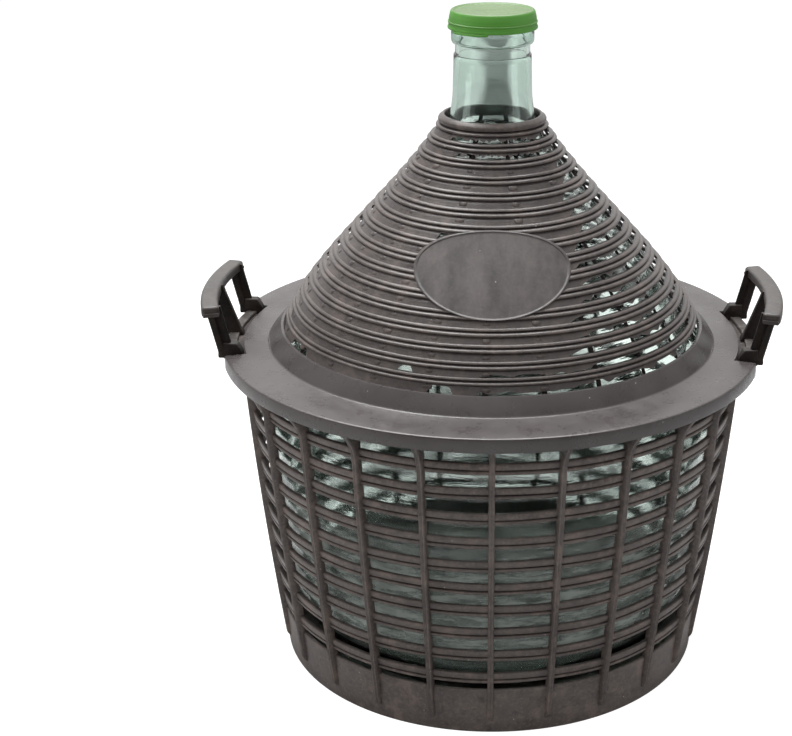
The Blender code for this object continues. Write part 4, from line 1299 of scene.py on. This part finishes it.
# Stage, in metres. Rays that the glass bends see the open floor lit, but not under
# the vessel or in a strip behind it, and see the world grey to the sides.

WORLD_FILL = 0.4
WORLD_SIDES = (0.4, 0.85)
SIDE_GREY = 0.15
FLOOR_SIZE = 30.0
FLOOR_COLOUR = (0.4, 0.4, 0.4)
FLOOR_GLOW = 0.84
FLOOR_GLOSSY_SHARE = 0.34
FLOOR_DARK_RADIUS = HULL_BASE * MM
FLOOR_LIT_RADIUS = (HULL_BASE + 20.0) * MM
STRIP_SIDES = (0.09, 0.15)
STRIP_FRONT = (0.15, 0.2)
STRIP_GLOW = 0.1
CARD_COLOUR = (0.03, 0.03, 0.03)
CARD_PLACE = (0.0, -3.4, 1.2)
CARD_SIZE = (8.0, 2.6)
WHITE = (1.0, 1.0, 1.0)

# Lights: name, place, what they aim at, size, power and whether reflections show them
LIGHTS = (
    ("top", (-0.14, 0.4, 1.4), (0.0, 0.0, 0.2), (1.0, 0.8), 29.0, True),
    ("left", (-1.6, -0.3, 0.7), (0.0, 0.0, 0.2), (0.7, 1.0), 11.0, False),
    ("front", (-0.2, -2.0, 1.5), (0.0, 0.0, 0.15), (1.4, 0.9), 24.0, False),
    ("right", (1.6, -0.4, 0.5), (0.0, 0.0, 0.15), (0.7, 1.0), 8.0, False),
)

# The camera that was fitted to the photo
CAMERA_PLACE = (0.0245, -1.1699, 0.6735)
CAMERA_TILT = 68.571
CAMERA_TURN = 2.18


def add_object(name, data, place, rotation):
    made = bpy.data.objects.new(name, data)
    bpy.context.scene.collection.objects.link(made)
    made.location = place
    made.rotation_euler = rotation
    return made


def stage_plane(name, material, place, tilt, width, depth):
    mesh = bpy.data.meshes.new(name)
    x, y = width / 2.0, depth / 2.0
    mesh.from_pydata([(-x, -y, 0), (x, -y, 0), (x, y, 0), (-x, y, 0)], [], [(0, 1, 2, 3)])
    mesh.materials.append(material)
    made = add_object(name, mesh, place, (math.radians(tilt), 0.0, 0.0))
    return made


def make_floor():
    """A floor that takes shadows, glows for the camera, and less for reflections."""
    material, tree, shader = new_material("floor_white")
    tree.nodes.remove(shader)
    path = add_node(tree, "LightPath").outputs
    glossy = times(tree, path["Is Glossy Ray"], FLOOR_GLOSSY_SHARE)
    bent = maths(tree, "MAXIMUM", glossy, path["Is Transmission Ray"])
    where = object_place(tree)
    length = add_node(tree, "VectorMath", {0: where}, operation="LENGTH")
    outside = remap(tree, length.outputs["Value"], FLOOR_DARK_RADIUS, FLOOR_LIT_RADIUS)
    axes = axes_of(tree, where)
    aside = remap(tree, maths(tree, "ABSOLUTE", axes["X"]), *STRIP_SIDES, STRIP_GLOW, 1.0)
    before = remap(tree, axes["Y"], *STRIP_FRONT, 1.0, STRIP_GLOW)
    lit = times(tree, outside, maths(tree, "MAXIMUM", aside, before))
    seen = maths(tree, "MAXIMUM", path["Is Camera Ray"], times(tree, bent, lit))
    strength = times(tree, seen, FLOOR_GLOW)
    diffuse = add_node(tree, "BsdfDiffuse", {"Color": FLOOR_COLOUR})
    glow = add_node(tree, "Emission", {"Color": WHITE, "Strength": strength})
    both = add_node(tree, "AddShader", {0: diffuse.outputs[0], 1: glow.outputs[0]})
    feed(tree, tree.nodes["Material Output"], {"Surface": both.outputs[0]})
    stage_plane("floor", material, (0.0, 0.0, 0.0), 0.0, FLOOR_SIZE, FLOOR_SIZE)


def make_card():
    """A dark card behind the camera, so that what faces the camera stays dark."""
    material, tree, shader = new_material("card_dark")
    feed(tree, shader, {"Base Color": CARD_COLOUR, "Roughness": 0.9})
    card = stage_plane("card", material, CARD_PLACE, 90.0, *CARD_SIZE)
    card.visible_camera = False


def make_world():
    """White behind the vessel, and grey to the sides for rays that the glass bends."""
    world = bpy.data.worlds.new("studio")
    bpy.context.scene.world = world
    world.use_nodes = True
    tree = world.node_tree
    path = add_node(tree, "LightPath").outputs
    direction = add_node(tree, "TexCoord").outputs["Generated"]
    sideways = maths(tree, "ABSOLUTE", axes_of(tree, direction)["X"])
    grey = remap(tree, sideways, *WORLD_SIDES, 1.0, SIDE_GREY)
    bent = maths(tree, "MAXIMUM", path["Is Glossy Ray"], path["Is Transmission Ray"])
    seen = maths(tree, "MAXIMUM", path["Is Camera Ray"], times(tree, bent, grey))
    strength = remap(tree, seen, 0.0, 1.0, WORLD_FILL, 1.0)
    feed(tree, tree.nodes["Background"], {"Color": WHITE, "Strength": strength})


def make_light(name, place, target, size, power, glossy):
    data = bpy.data.lights.new(name, "AREA")
    data.shape = "RECTANGLE"
    data.size, data.size_y = size
    data.energy = power
    aim = np.array(target) - np.array(place)
    tilt = math.atan2(math.hypot(aim[0], aim[1]), -aim[2])
    heading = math.atan2(aim[1], aim[0]) - math.pi / 2.0
    made = add_object(name, data, place, (tilt, 0.0, heading))
    made.visible_glossy = glossy


def make_camera():
    data = bpy.data.cameras.new("camera")
    data.sensor_width = 36.0
    data.lens = 76.59
    data.shift_x = -0.0856
    rotation = (math.radians(CAMERA_TILT), 0.0, math.radians(CAMERA_TURN))
    bpy.context.scene.camera = add_object("camera", data, CAMERA_PLACE, rotation)


def main():
    make_basket()
    make_cover()
    make_handles()
    make_bottle()
    make_cap()
    make_floor()
    make_card()
    make_world()
    for light in LIGHTS:
        make_light(*light)
    make_camera()
    bpy.context.scene.view_settings.view_transform = "Standard"


main()
